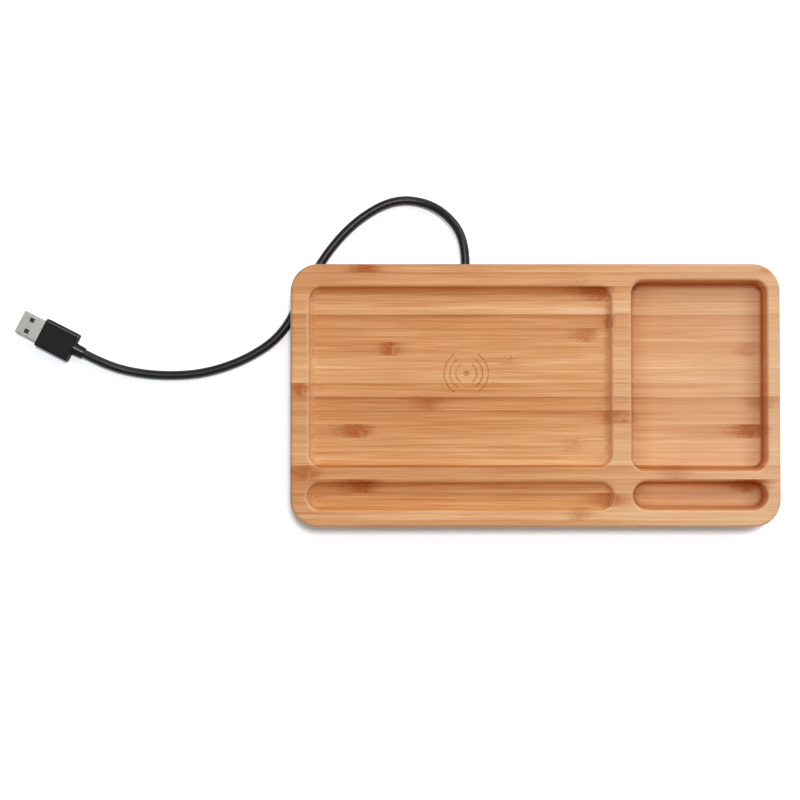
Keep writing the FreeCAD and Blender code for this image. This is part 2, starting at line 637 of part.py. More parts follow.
def make_coil():
    """The flat coil, a spiral of half circles, with the tape that holds it to the roof and its ferrite."""
    half_width = number("Sizes.coil_wire_width / 2")
    pitch = number("Sizes.coil_pitch")
    inner = number("Sizes.coil_inner_radius")
    middle = Vector(number("Places.coil_x"), number("Places.coil_y"), number("Places.ferrite_top"))
    sides = {-1: [], 1: []}
    for half in range(2 * COIL_TURNS):
        radius = inner + half * pitch / 2
        centre = middle - Vector(0, half % 2 * pitch / 2, 0)
        start = math.pi * (half - 0.5)
        for side, arcs in sides.items():
            circle = Part.Circle(centre, Vector(0, 0, 1), radius + side * half_width)
            arcs.append(Part.ArcOfCircle(circle, start, start + math.pi).toShape())
    caps = [Part.LineSegment(sides[-1][end].valueAt(sides[-1][end].ParameterRange[last]),
                             sides[1][end].valueAt(sides[1][end].ParameterRange[last])).toShape()
            for end, last in ((0, 0), (-1, 1))]
    band = Part.Face(Part.Wire(Part.__sortEdges__(sides[-1] + sides[1] + caps)))
    coil = new_shape("charging_coil", band.extrude(Vector(0, 0, number("Sizes.coil_wire_height"))))
    gap = min(outer.distToShape(within)[0] for within, outer in zip(sides[1], sides[-1][2:]))
    print(f"coil: {COIL_TURNS} turns, least gap between turns {gap:.3f} mm")

    tape = new_body("coil_tape", "Places.coil_x", "Places.coil_y", "Places.coil_top")
    disc = new_sketch(tape, "XY_Plane")
    draw_circle(disc, "Sizes.tape_diameter")
    extrude(tape, "Pad", disc, "Sizes.tape_thickness")

    ferrite = new_body("ferrite_plate", "Places.coil_x", "Places.coil_y", "Places.ferrite_bottom")
    plate = new_sketch(ferrite, "XY_Plane")
    draw_circle(plate, "Sizes.ferrite_diameter")
    draw_circle(plate, "Sizes.ferrite_hole_diameter", "-Sizes.coil_lead_drop", "-Sizes.coil_inner_radius")
    extrude(ferrite, "Pad", plate, "Sizes.ferrite_thickness")

    level, board_top = number("Places.coil_middle"), number("Places.board_top")
    board_left = number("Places.board_left")
    board_middle = board_top - number("Sizes.board_thickness / 2")
    near = middle.y - inner
    far = middle.y - inner - COIL_TURNS * pitch
    drop = middle.x - number("Sizes.coil_lead_drop")
    solder = board_left + number("Sizes.solder_inset")
    diameter = number("Sizes.coil_lead_diameter")
    inner_lead = tube([Vector(middle.x, near, level), Vector(drop, near, level),
                       Vector(drop, near, board_middle), Vector(board_left, near, board_middle)],
                      diameter)[0]
    outer_lead = tube([Vector(middle.x, far, level), Vector(solder, far, level),
                       Vector(solder, far, board_top)], diameter)[0]
    leads = new_shape("coil_leads", Part.makeCompound([inner_lead, outer_lead]))
    return [coil, tape, ferrite, leads]


def make_board():
    """The circuit board on its bosses, its screws and its components."""
    body = new_body("charger_board", "Places.board_x", "Places.coil_y", "Places.board_bottom")
    plate = new_sketch(body, "XY_Plane")
    draw_rounded_rectangle(plate, "Sizes.board_width", "Sizes.board_length", "Sizes.board_corner_radius")
    extrude(body, "Pad", plate, "Sizes.board_thickness")
    holes = new_sketch(body, "XY_Plane", z="Sizes.board_thickness")
    for x, y in four_places("Places.board_screw_x", "Places.board_screw_y"):
        draw_circle(holes, "Sizes.board_screw_diameter + Sizes.screw_clearance", x, y)
    extrude(body, "Pocket", holes, "Sizes.board_thickness", along=False)

    screws = new_body("board_screws", "Places.board_x", "Places.coil_y", "Places.board_top")
    for x, y in four_places("Places.board_screw_x", "Places.board_screw_y"):
        turn(screws, small_screw("board", "Sizes.board_thickness + Sizes.board_screw_grip"), x, y)

    nodes = [body, screws]
    kinds = [("controller_chip", CONTROLLER_SHARES, "Sizes.controller_side", "Sizes.controller_side",
              "Sizes.controller_height"),
             ("bridge_transistors", TRANSISTOR_SHARES, "Sizes.transistor_width", "Sizes.transistor_length",
              "Sizes.transistor_height"),
             ("resonant_capacitors", RESONANT_CAPACITOR_SHARES, "Sizes.resonant_capacitor_length",
              "Sizes.resonant_capacitor_width", "Sizes.resonant_capacitor_height"),
             ("filter_capacitors", FILTER_CAPACITOR_SHARES, "Sizes.filter_capacitor_length",
              "Sizes.filter_capacitor_width", "Sizes.filter_capacitor_height")]
    for label, shares, length, width, height in kinds:
        parts = new_body(label, "Places.board_left", "Places.board_rear - Sizes.board_length",
                         "Places.board_top")
        outlines = new_sketch(parts, "XY_Plane")
        for across, along in shares:
            draw_rectangle(outlines, length, width, f"{across} * Sizes.board_width",
                           f"{along} * Sizes.board_length")
        extrude(parts, "Pad", outlines, height)
        nodes.append(parts)
    return nodes


def small_screw(kind, length):
    """Outline of a small cheese-head screw whose head stands on the origin and whose shank points down."""
    head = f"Sizes.{kind}_screw_head_diameter / 2"
    shank = "Sizes.board_screw_diameter / 2"
    tall = f"Sizes.{kind}_screw_head_height"
    return [("0", tall), ("0", f"-({length})"), (shank, f"-({length})"), (shank, "0"), (head, "0"),
            (head, tall)]


def make_cable_entry():
    """The lead's fixed end: grommet, sheathed stretch, clamp with its screws and the two power wires."""
    grommet = new_body("cable_grommet", "Places.coil_x", "Places.rear_face", "Places.cable_height")
    ring = new_sketch(grommet, "XZ_Plane")
    draw_circle(ring, "Sizes.grommet_diameter")
    draw_circle(ring, "Sizes.cable_diameter")
    extrude(grommet, "Pad", ring, "Sizes.grommet_length")
    bore = number("Sizes.cable_diameter / 2")
    rear_edges = edges_on(grommet.Tip.Shape, "Y", 0, lambda edge: edge.Curve.Radius > bore)
    dress(grommet, "Chamfer", rear_edges, "Size", "Sizes.grommet_chamfer")

    inside = new_body("cable_inside", "Places.coil_x", "Places.rear_face", "Places.cable_height")
    section = new_sketch(inside, "XZ_Plane")
    draw_circle(section, "Sizes.cable_diameter")
    extrude(inside, "Pad", section, "Places.rear_face - Places.sheath_front")

    clamp = new_body("cable_clamp", "Places.coil_x", "Places.clamp_y", "Places.cable_height")
    block = new_sketch(clamp, "XY_Plane")
    draw_rectangle(block, "Sizes.clamp_length", "Sizes.clamp_width")
    extrude(clamp, "Pad", block, "Sizes.clamp_height")
    trough = new_sketch(clamp, "XZ_Plane")
    draw_circle(trough, "Sizes.cable_diameter + Sizes.screw_clearance")
    extrude(clamp, "Pocket", trough, "Sizes.clamp_width + Sizes.cut_overrun", symmetric=True)
    holes = new_sketch(clamp, "XY_Plane", z="Sizes.clamp_height")
    for side in (-1, 1):
        draw_circle(holes, "Sizes.board_screw_diameter + Sizes.screw_clearance",
                    f"{side} * Sizes.clamp_screw_spacing / 2")
    extrude(clamp, "Pocket", holes, "Sizes.clamp_height", along=False)

    screws = new_body("clamp_screws", "Places.coil_x", "Places.clamp_y",
                      "Places.cable_height + Sizes.clamp_height")
    for side in (-1, 1):
        turn(screws, small_screw("clamp", "Sizes.clamp_height + Sizes.clamp_screw_grip"),
             f"{side} * Sizes.clamp_screw_spacing / 2")

    nodes = [grommet, inside, clamp, screws]
    start_y, height = number("Places.sheath_front"), number("Places.cable_height")
    board_top = number("Places.board_top")
    above = board_top + number("Sizes.power_wire_rise")
    spacing = number("Sizes.power_wire_spacing")
    solder_y = number("Places.board_rear - Sizes.solder_spacing")
    solder_left = number("Places.board_left + Sizes.solder_inset")
    for order, colour in enumerate(("black", "red")):
        start_x = number("Places.coil_x") + (order - 0.5) * spacing
        turn_y = start_y - number("Sizes.power_wire_turn") + order * spacing
        solder_x = solder_left + order * number("Sizes.solder_spacing")
        wire = tube([Vector(start_x, start_y, height), Vector(start_x, turn_y, height),
                     Vector(solder_x, turn_y, above), Vector(solder_x, solder_y, above),
                     Vector(solder_x, solder_y, board_top)], number("Sizes.power_wire_diameter"))[0]
        nodes.append(new_shape(f"power_wire_{colour}", wire))
    return nodes


def cable_points():
    """The free lead's route: level out of the rear face and level into the plug's neck."""
    exit_point = Vector(number("Places.coil_x"), number("Places.rear_face"), 0)
    out = number("Places.cable_height")
    into = number("Sizes.plug_body_height / 2")
    route = [(x, y, out) for x, y in CABLE_ROUTE_START]
    route += CABLE_ROUTE
    route += [(x, y, into) for x, y in CABLE_ROUTE_END]
    return [exit_point + Vector(*point) for point in route]


def make_lead():
    """The free lead and the plug on its end, which lies flat on the desk in line with the last run."""
    points = cable_points()
    solid, length, radii, filled = tube(points, number("Sizes.cable_diameter"))
    print(f"power cable: {length:.1f} mm long, volume {filled:.4f} of section times length")
    print("radii", [round(radius, 1) for radius in radii])
    nodes = [new_shape("power_cable", solid)]
    heading = points[-1] - points[-2]
    angle = math.degrees(math.atan2(heading.y, heading.x))
    seat = FreeCAD.Placement(points[-1], FreeCAD.Rotation(Vector(0, 0, 1), angle))
    for body in make_plug():
        body.Placement = seat
        nodes.append(body)
    return nodes


def make_plug():
    """The plug, with +X pointing into the socket: grip with neck, hollow shell, tongue and contacts.

    It lies with its tongue uppermost, so the contacts face the desk."""
    grip = doc.addObject("PartDesign::Body", "plug_body")
    grip.Label = "plug_body"
    front = "(Sizes.plug_neck_length + Sizes.plug_body_length)"
    section = new_sketch(grip, "YZ_Plane", "Sizes.plug_neck_length")
    draw_rounded_rectangle(section, "Sizes.plug_body_width", "Sizes.plug_body_height",
                           "Sizes.plug_body_edge")
    extrude(grip, "Pad", section, "Sizes.plug_body_length")
    ends = edges_on(grip.Tip.Shape, "X", number("Sizes.plug_neck_length"))
    ends += edges_on(grip.Tip.Shape, "X", number(front))
    dress(grip, "Fillet", ends, "Radius", "Sizes.plug_end_edge")
    neck = new_sketch(grip, "XY_Plane")
    draw_outline(neck, [("0", "0"), ("Sizes.plug_neck_length + Sizes.plug_end_edge", "0"),
                        ("Sizes.plug_neck_length + Sizes.plug_end_edge", "Sizes.plug_neck_diameter / 2"),
                        ("0", "Sizes.plug_neck_end_diameter / 2")])
    turned = grip.newObject("PartDesign::Revolution", "plug_neck")
    turned.Profile = neck
    turned.ReferenceAxis = (neck, ["H_Axis"])
    grip.Tip = turned
    doc.recompute()
    socket = new_sketch(grip, "YZ_Plane", front)
    draw_rounded_rectangle(socket, "Sizes.shell_width", "Sizes.shell_height", "Sizes.shell_corner_radius")
    extrude(grip, "Pocket", socket, "Sizes.shell_length - Sizes.shell_reach", along=False)

    shell = doc.addObject("PartDesign::Body", "plug_shell")
    shell.Label = "plug_shell"
    back = f"({front} + Sizes.shell_reach - Sizes.shell_length)"
    tip = f"({front} + Sizes.shell_reach)"
    section = new_sketch(shell, "YZ_Plane", back)
    draw_rounded_rectangle(section, "Sizes.shell_width", "Sizes.shell_height", "Sizes.shell_corner_radius")
    draw_rounded_rectangle(section, "Sizes.shell_width - 2 * Sizes.shell_wall",
                           "Sizes.shell_height - 2 * Sizes.shell_wall",
                           "Sizes.shell_corner_radius - Sizes.shell_wall")
    extrude(shell, "Pad", section, "Sizes.shell_length")
    windows = new_sketch(shell, "XY_Plane", f"{tip} - Sizes.shell_window_setback")
    for side in (-1, 1):
        draw_rectangle(windows, "Sizes.shell_window_length", "Sizes.shell_window_width",
                       "0", f"{side} * Sizes.shell_window_spacing / 2")
    extrude(shell, "Pocket", windows, "Sizes.shell_height + Sizes.cut_overrun", symmetric=True)

    tongue = doc.addObject("PartDesign::Body", "plug_tongue")
    tongue.Label = "plug_tongue"
    inside = "(Sizes.shell_height / 2 - Sizes.shell_wall - Sizes.tongue_clearance)"
    profile = new_sketch(tongue, "XZ_Plane")
    draw_outline(profile, [(back, inside), (f"{tip} - Sizes.tongue_setback", inside),
                           (f"{tip} - Sizes.tongue_setback", "0"), (f"{back} + Sizes.tongue_block", "0"),
                           (f"{back} + Sizes.tongue_block", f"-{inside}"), (back, f"-{inside}")])
    extrude(tongue, "Pad", profile, "Sizes.shell_width - 2 * Sizes.shell_wall - 2 * Sizes.tongue_clearance",
            symmetric=True)
    lengthwise = [name for level in (-1, 1)
                  for name in edges_on(tongue.Tip.Shape, "Z", level * number(inside),
                                       lambda edge: edge.BoundBox.XLength > edge.BoundBox.YLength)]
    dress(tongue, "Fillet", lengthwise, "Radius", "Sizes.shell_corner_radius - Sizes.shell_wall")

    contacts = doc.addObject("PartDesign::Body", "plug_contacts")
    contacts.Label = "plug_contacts"
    strips = new_sketch(contacts, "XY_Plane", f"{tip} - Sizes.contact_setback - Sizes.contact_length / 2")
    for spacing in ("Sizes.contact_inner_spacing", "Sizes.contact_outer_spacing"):
        for side in (-1, 1):
            draw_rectangle(strips, "Sizes.contact_length", "Sizes.contact_width",
                           "0", f"{side} * {spacing} / 2")
    extrude(contacts, "Pad", strips, "Sizes.contact_thickness", along=False)
    return [grip, shell, tongue, contacts]


def main():
    """Builds every node, checks the document and writes one file for each node."""
    nodes = [make_tray_body()]
    nodes += make_feet()
    nodes += make_bottom_cover()
    nodes += make_coil()
    nodes += make_board()
    nodes += make_cable_entry()
    nodes += make_lead()
    doc.recompute()
    for thing in doc.Objects:
        if "Invalid" in thing.State or "Error" in thing.State:
            raise RuntimeError(f"{thing.Label} did not build: {thing.State}")
    for node in nodes:
        if node.Shape.isNull() or not node.Shape.isValid() or not node.Shape.Solids:
            raise RuntimeError(f"{node.Label} has no valid solid")
    os.makedirs("parts", exist_ok=True)
    for node in nodes:
        node.Shape.exportStep(os.path.join("parts", node.Label + ".step"))
        box = node.Shape.BoundBox
        print(f"{node.Label}: {len(node.Shape.Solids)} solids, {node.Shape.Volume:.1f} mm3, "
              f"x {box.XMin:.1f} {box.XMax:.1f}, y {box.YMin:.1f} {box.YMax:.1f}, "
              f"z {box.ZMin:.2f} {box.ZMax:.2f}")


main()
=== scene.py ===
import math
from types import SimpleNamespace

import bmesh
import bpy
import numpy as np
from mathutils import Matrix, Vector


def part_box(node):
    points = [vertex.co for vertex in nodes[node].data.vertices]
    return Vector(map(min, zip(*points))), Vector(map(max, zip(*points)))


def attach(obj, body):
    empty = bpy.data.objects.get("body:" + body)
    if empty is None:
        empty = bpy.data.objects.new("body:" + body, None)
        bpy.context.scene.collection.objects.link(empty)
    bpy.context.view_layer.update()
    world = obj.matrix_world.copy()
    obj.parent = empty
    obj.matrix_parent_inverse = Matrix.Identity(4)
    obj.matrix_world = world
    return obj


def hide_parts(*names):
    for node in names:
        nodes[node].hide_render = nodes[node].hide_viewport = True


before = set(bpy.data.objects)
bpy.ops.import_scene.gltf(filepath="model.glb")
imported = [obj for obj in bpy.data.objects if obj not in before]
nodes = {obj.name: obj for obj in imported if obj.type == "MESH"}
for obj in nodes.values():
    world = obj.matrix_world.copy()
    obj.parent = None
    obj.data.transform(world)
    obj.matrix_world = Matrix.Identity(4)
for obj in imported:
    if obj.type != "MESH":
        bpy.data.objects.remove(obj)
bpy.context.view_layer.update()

MM = 0.001

# Heights on the board, mm
RIM = 24.0
BAY_FLOOR = 19.0

# The board is glued from upright strips that run along X. The first glue line's place and the strips' width, mm.
REAR_GLUE_LINE = 67.48
STRIP_WIDTH = 6.808
# Each strip from rear to front: its tone from 0, dark, to 1, pale, where across it its knuckles are widest, from 0,
# the rear border, to 1, how far they run out to the left and to the right, mm, and up to two knuckles, each with its
# place along X, mm, and how dark it is.
STRIPS = [
    (0.40, 0.85, 9, 7, (-83.7, 0.90), (119.0, 0.50)),
    (0.44, 0.50, 10, 6, (21.4, 0.20)),
    (0.46, 0.10, 15, 6, (32.2, 1.00)),
    (0.66, 0.50, 8, 5),
    (0.42, 0.50, 3, 2, (37.2, 0.85)),
    (0.50, 0.50, 11, 4, (26.6, 0.60)),
    (0.54, 0.50, 6, 5, (-71.8, 0.80), (106.0, 0.32)),
    (0.68, 0.80, 8, 6, (-13.1, 0.15)),
    (0.66, 0.50, 8, 5),
    (0.52, 0.50, 6, 5, (-116.2, 0.85)),
    (0.40, 0.05, 10, 8, (-53.1, 0.70), (113.0, 0.45)),
    (0.46, 0.50, 8, 9, (40.1, 0.62)),
    (0.54, 0.35, 12, 7, (-87.6, 0.88), (108.6, 0.85)),
    (0.64, 0.80, 9, 5, (19.4, 0.17)),
    (0.64, 0.50, 8, 5),
    (0.38, 0.50, 10, 8, (-113.7, 0.70), (69.2, 0.40)),
    (0.48, 0.15, 14, 9, (-85.1, 1.00), (106.6, 1.00)),
    (0.48, 0.45, 12, 8, (36.2, 0.65)),
    (0.66, 0.60, 7, 6, (22.4, 0.38)),
    (0.62, 0.50, 8, 5),
]
# A colour ramp holds the table, so places and runs are shares of these lengths, mm.
KNUCKLE_SPAN = 300.0
LONGEST_RUN = 30.0
NO_KNUCKLE = (KNUCKLE_SPAN / 2, 0.0)

# Sizes in the wood, mm: along and across the fibres, or all round
FINE_FIBRE = (30.0, 0.45)
BROAD_FIBRE = (80.0, 1.9)
SAP_WISP = (9.0, 0.9)
SWIRL = 2.5
CLOUD = 45.0
FIBRE_BUNDLE = 0.75
# What a place is multiplied by so that the bundles run along X
BUNDLE_RUN = (0.02, 1.0, 1.0)
# How far apart the strips lie in the noise that their fibres are drawn from, mm
STRIP_STEP = 37.7
# Round a knuckle, mm: how far wisps push its sap, where its run to the left turns into that to the right, how far its
# stain reaches to the left and right, the ripple and half width of its scar, and how far off and how much fibres bend
WISP_PUSH = 7.0
RUN_CHANGE = (-1.0, 1.0)
STAIN_REACH = (50.0, 14.0)
SCAR_RIPPLE = 3.5
SCAR_HALF_WIDTH = (0.1, 1.1)
BEND_REACH = 9.0
FIBRE_BEND = 5.0

# Where across a strip, as a share of its width, its dark rear border begins and is full, where a scar begins and is
# full, for which cores there is no scar and a full one, and where a glue line begins and is full, from the middle
REAR_BORDER = (0.3, 0.1)
SCAR_SIDE = (0.25, 0.65)
SCAR_CORES = (0.35, 0.31)
GLUE_LINE = (0.465, 0.5)

# Where a change of the wood's surface begins and where it is full, mm: along X, along Y or in height
TONE_RISE_ALONG = (-75.0, 30.0)
# Of these, the sheen along X, the walls' shade, the shadow at the foot of the side bay's rear wall, the shade at the
# ends, the cove highlights and the light on the phone bay's right wall are painted light and shade.
SHEEN_ALONG = (15.0, 125.0)
WALL_SHADE_HEIGHTS = (20.5, 16.0)
SHADOWED_FOOT_ALONG_Y = (46.0, 50.0)
SHADOWED_FOOT_HEIGHTS = (17.0, 15.5)
SHADED_ENDS = ((59.0, 50.0), (103.0, 111.0))
SHADED_END_HEIGHTS = (18.0, 16.5)
COVE_HEIGHTS = ((21.0, 20.2), (18.0, 18.5))
RIGHT_WALL_LIGHT_HEIGHTS = (20.5, 22.0)
LEFT_OF_DIVIDER = (46.0, 45.0)
BURNT_HEIGHTS = (BAY_FLOOR - 0.02, BAY_FLOOR - 0.2)
TOP_HEIGHTS = (RIM - 1.8, RIM - 1.0)
# The compartments' walls lie nearer to the middle than this along X, along Y and along both added up, the outer
# sides and corners further, mm.
WALLS_WITHIN = (118.0, 62.0, 174.0)
# How far a face has turned where a change begins and where it is full: its normal's part up, to the right, to the
# rear, or to the side
LOOKS_UP = (0.5, 0.95)
STEEP_WALL = (0.95, 0.4)
ROUNDED_OVER = (0.995, 0.93)
OUTER_ARRIS = (0.85, 0.45)
NOT_OVERHANGING = (0.0, 0.2)
COVE_LOOKS_UP = (0.3, 0.6)
COVE_TO_RIGHT = (0.12, 0.4)
RIGHT_WALL_LIGHT_TO_RIGHT = (-0.4, -0.8)
SHADOWED_FOOT_TO_REAR = (-0.12, -0.4)
WARM_BOUNCE_TO_SIDE = (-0.3, -0.8)
CUT_TO_SIDE = (0.6, 0.95)
CROSSING_TO_SIDE = (0.1, 0.5)

# How the tone is made up: from which tone to which a strip counts as dark or pale, how much each of them leans from
# its dark rear to its pale front, how dark the rear border is, how much the board pales along X, and the weights of
# the crisp fibres, the broad ones and the clouds
DARK_TO_PALE = (0.4, 0.56)
LEAN = (0.36, 0.08)
BORDER_SHADE = 0.3
TONE_RISE = 0.09
LAYER_WEIGHTS = (0.28, 0.8, 0.25)
# The part of a noise's values that is used, and the part that makes crisp fibres
NOISE_RANGE = (0.3, 0.7)
CRISP_RANGE = (0.34, 0.66)
# How sap spreads: how much its outline wavers, how fast it narrows to the strip's borders, how much broad fibres show
# in it, where its edge begins and is full, and how much it soaks into dark and pale fibres
SAP_WAVER = 1.2
SAP_NARROWING = 0.85
SAP_VEINS = 0.8
SAP_EDGE = (-0.6, 0.75)
SAP_BY_FIBRE = (1.12, 0.72)
# How strong a change is where it is full, or at its least and at its most. The sheen, the walls' warm bounce and
# shade, the foot's shadow, the cove highlights, the rim highlight, the right wall's light and the outer arris's shade
# are painted light and shade.
SHEEN = 0.5
STAINED = 0.42
SCARRED = (0.05, 0.42)
GLUED = (0.1, 0.5)
DRY_ENDS = 0.3
WARM_BOUNCE = (0.3, 0.6)
DEEP_WALL_SHADE = 0.3
FOOT_SHADOW = 0.6
COVE_HIGHLIGHT = 0.06
SINGED_RANGE = (0.38, 0.62)
SINGED = (0.2, 0.6)
RIM_HIGHLIGHT = (0.1, 0.4)
RIGHT_WALL_LIGHT = 0.4
OUTER_ARRIS_SHADE = 0.55
# The wood's roughness in its dark and pale fibres and on a sanded arris, how much it gleams on a face and on an
# arris, and its relief, mm
WOOD_ROUGHNESS = (0.54, 0.44)
ARRIS_ROUGHNESS = 0.32
WOOD_GLEAM = (0.2, 0.5)
WOOD_RELIEF = 0.05

# The charging mark burnt into the phone bay's floor, mm and degrees
MARK_CENTRE = (-34.0, 11.0)
MARK_RADII = (5.2, 8.1, 11.0)
MARK_HALF_ANGLE = 57.0
MARK_LINE_WIDTH = 0.75
MARK_DEPTH = 0.35
MARK_DOT_RADIUS = 1.5
MARK_AREA = (MARK_RADII[-1] + 2.0, MARK_RADII[-1] + 1.0)
# How much narrower an arc and the dot are at their bottom, and into how many steps an arc and the dot are divided
ARC_TAPER = 0.7
DOT_TAPER = 0.92
ARC_STEPS = 33
DOT_STEPS = 40

# The cross recesses in screw heads: their outline's scale at the mouth and at the tip, and how far the cutter stands
# out of the head, mm
RECESS_MOUTH = 1.05
RECESS_TIP = 0.6
RECESS_OVERCUT = 0.2
# Points of a CAD mesh that are nearer than this are one point, mm.
WELD_DISTANCE = 0.0005

# The lead's route from the rear edge to the plug's neck, mm
LEAD_ROUTE = [
    (-34.0, 65.0, 10.4), (-34.0, 76.5, 10.4), (-40.3, 89.2, 6.9), (-52.8, 98.6, 2.35), (-70.2, 100.2, 2.35),
    (-88.8, 89.7, 2.35), (-104.5, 72.5, 2.35), (-116.0, 51.6, 2.35), (-126.2, 31.2, 2.35), (-144.0, 18.9, 2.35),
    (-165.0, 11.7, 2.35), (-184.0, 10.3, 2.35), (-201.2, 11.9, 2.6), (-215.6, 15.9, 3.8), (-226.9, 21.7, 3.8),
]
LEAD_DIAMETER = 4.5
# The side of the plug that is gripped most, as a direction, how far a face has turned to it where the rubbed shoulder
# begins and is full, where the shoulder has ended and is still full, and how rough and how shiny the shoulder is
GRIPPED_SIDE = (0.4566, 0.8897, 0.0)
SHOULDER_BEGINS = (0.02, 0.08)
SHOULDER_ENDS = (0.5, 0.3)
RUBBED_ROUGHNESS = 0.36
RUBBED_GLEAM = 1.0

# The sweep, m: its half width, the middle of the shadow that it keeps, and from where to where the shadow fades out.
FLOOR_HALF = 30.0
SHADOW_MIDDLE = (-0.06, 0.0, 0.0)
SHADOW_FADE = (0.24, 0.45)
# How white the paper is as it lights the object, and as it is seen, cooled against the object's warm light
PAPER_LIT = (0.85, 0.85, 0.85, 1.0)
PAPER_SEEN = (1.47, 1.5, 1.55, 1.0)
WHITE = (1.0, 1.0, 1.0, 1.0)
AMBIENT_STRENGTH = 0.28
# Each softbox with its place, the point that it is turned to and its width, m, and its power, W: one high above and
# a little behind the tray, and a large one beside and behind its right end
SOFTBOXES = {
    "key_softbox": ((0.0, 0.22, 1.6), (-0.02, 0.0, 0.0), 0.22, 11.2),
    "side_softbox": ((0.68, 1.12, 0.95), (0.0, 0.0, 0.0), 1.3, 12.4),
}

# The camera looks almost straight down, a little from the front, and the rim's plane is 0.4931 mm to the pixel.
# The point that it looks at, its distance, tilt, sensor and lens, mm and radians
CAMERA_AIM = (-66.85, -2.35, RIM)
CAMERA_DISTANCE = 800.0
CAMERA_TILT = math.radians(1.3)
CAMERA_SENSOR = 36.0
CAMERA_LENS = 73.0


def linear(code):
    """An sRGB hex colour as linear red, green, blue and alpha."""
    parts = np.array([int(code[i:i + 2], 16) / 255 for i in (0, 2, 4)])
    parts = np.where(parts <= 0.04045, parts / 12.92, ((parts + 0.055) / 1.055) ** 2.4)
    return (*parts.tolist(), 1.0)


def add(tree, kind, fill=None, **settings):
    """Adds a node, sets its properties and fills its inputs, by a link where the value is a socket.

    A key can name several inputs, and has as many values then."""
    made = tree.nodes.new("ShaderNode" + kind)
    for name, value in settings.items():
        setattr(made, name, value)
    for keys, values in (fill or {}).items():
        for key, value in zip(keys, values) if isinstance(keys, tuple) else [(keys, values)]:
            socket = made.inputs[key]
            if isinstance(value, bpy.types.NodeSocket):
                tree.links.new(value, socket)
            else:
                socket.default_value = value
    return made


def new_material(name):
    """An empty node material with its surface shader and the object's own coordinates in mm."""
    material = bpy.data.materials.new(name)
    material.use_nodes = True
    tree = material.node_tree
    tree.nodes.clear()
    shader = add(tree, "BsdfPrincipled")
    add(tree, "OutputMaterial", {"Surface": shader.outputs[0]})
    place = add(tree, "TexCoord")
    scaled = add(tree, "VectorMath", {0: place.outputs["Object"], 1: (1 / MM,) * 3}, operation="MULTIPLY")
    return material, tree, shader, scaled.outputs[0], place.outputs["Normal"]


def shape_ramp(ramp, stops, interpolation="LINEAR"):
    """Gives a colour ramp its stops, each a place and a linear colour."""
    elements = ramp.color_ramp.elements
    while len(elements) < len(stops):
        elements.new(1.0)
    for element, (place, colour) in zip(elements, stops):
        element.position = place
        element.color = colour
    ramp.color_ramp.interpolation = interpolation


def only_where(tree, amount, *limits):
    """Weakens an amount outside its limits. Each is a value, what it is where nothing is left, and where all is."""
    for value, nothing, everything in limits:
        share = add(tree, "MapRange", {0: value, 1: nothing, 2: everything})
        amount = add(tree, "Math", {0: amount, 1: share.outputs[0]}, operation="MULTIPLY").outputs[0]
    return amount


def per_fibre(along, across):
    """What a place is multiplied by to count in fibres of that size."""
    return (1 / along, 1 / across, 1 / across)


def lay_strips(board):
    """The strip at a place, the place across it from 0 at its rear border to 1, and what the table says of it.

    Strip number = whole part of (first glue line - y) / strip width."""
    tree = board.tree
    back = add(tree, "Math", {0: REAR_GLUE_LINE, 1: board.y}, operation="SUBTRACT")
    across = add(tree, "Math", {0: back.outputs[0], 1: STRIP_WIDTH}, operation="DIVIDE")
    number = add(tree, "Math", {0: across.outputs[0]}, operation="FLOOR")
    inside = add(tree, "Math", {0: across.outputs[0], 1: number.outputs[0]}, operation="SUBTRACT")
    offset = add(tree, "Math", {0: inside.outputs[0], 1: 0.5}, operation="SUBTRACT")
    chance = add(tree, "TexWhiteNoise", {"W": number.outputs[0]}, noise_dimensions="1D")
    draw = add(tree, "SeparateColor", {0: chance.outputs["Color"]})
    board.number, board.inside, board.offset = (node.outputs[0] for node in (number, inside, offset))
    board.draw = draw.outputs[2]

    middle = add(tree, "Math", {0: board.number, 1: 0.5}, operation="ADD")
    row = add(tree, "Math", {0: middle.outputs[0], 1: len(STRIPS)}, operation="DIVIDE")
    table, form = (add(tree, "ValToRGB", {0: row.outputs[0]}) for _ in range(2))
    stops, forms = [], []
    for index, (tone, core, left, right, *knuckles) in enumerate(STRIPS):
        (first, sap), (second, other_sap) = (knuckles + [NO_KNUCKLE] * 2)[:2]
        first, second = (spot / KNUCKLE_SPAN + 0.5 for spot in (first, second))
        stops.append((index / len(STRIPS), (first, second, tone, sap)))
        forms.append((index / len(STRIPS), (left / LONGEST_RUN, right / LONGEST_RUN, core, other_sap)))
    shape_ramp(table, stops, "CONSTANT")
    shape_ramp(form, forms, "CONSTANT")
    *board.spots, board.tone = add(tree, "SeparateColor", {0: table.outputs["Color"]}).outputs
    *runs, board.core = add(tree, "SeparateColor", {0: form.outputs["Color"]}).outputs
    board.runs = [add(tree, "Math", {0: run, 1: LONGEST_RUN}, operation="MULTIPLY").outputs[0] for run in runs]
    board.darkness = table.outputs["Alpha"], form.outputs["Alpha"]


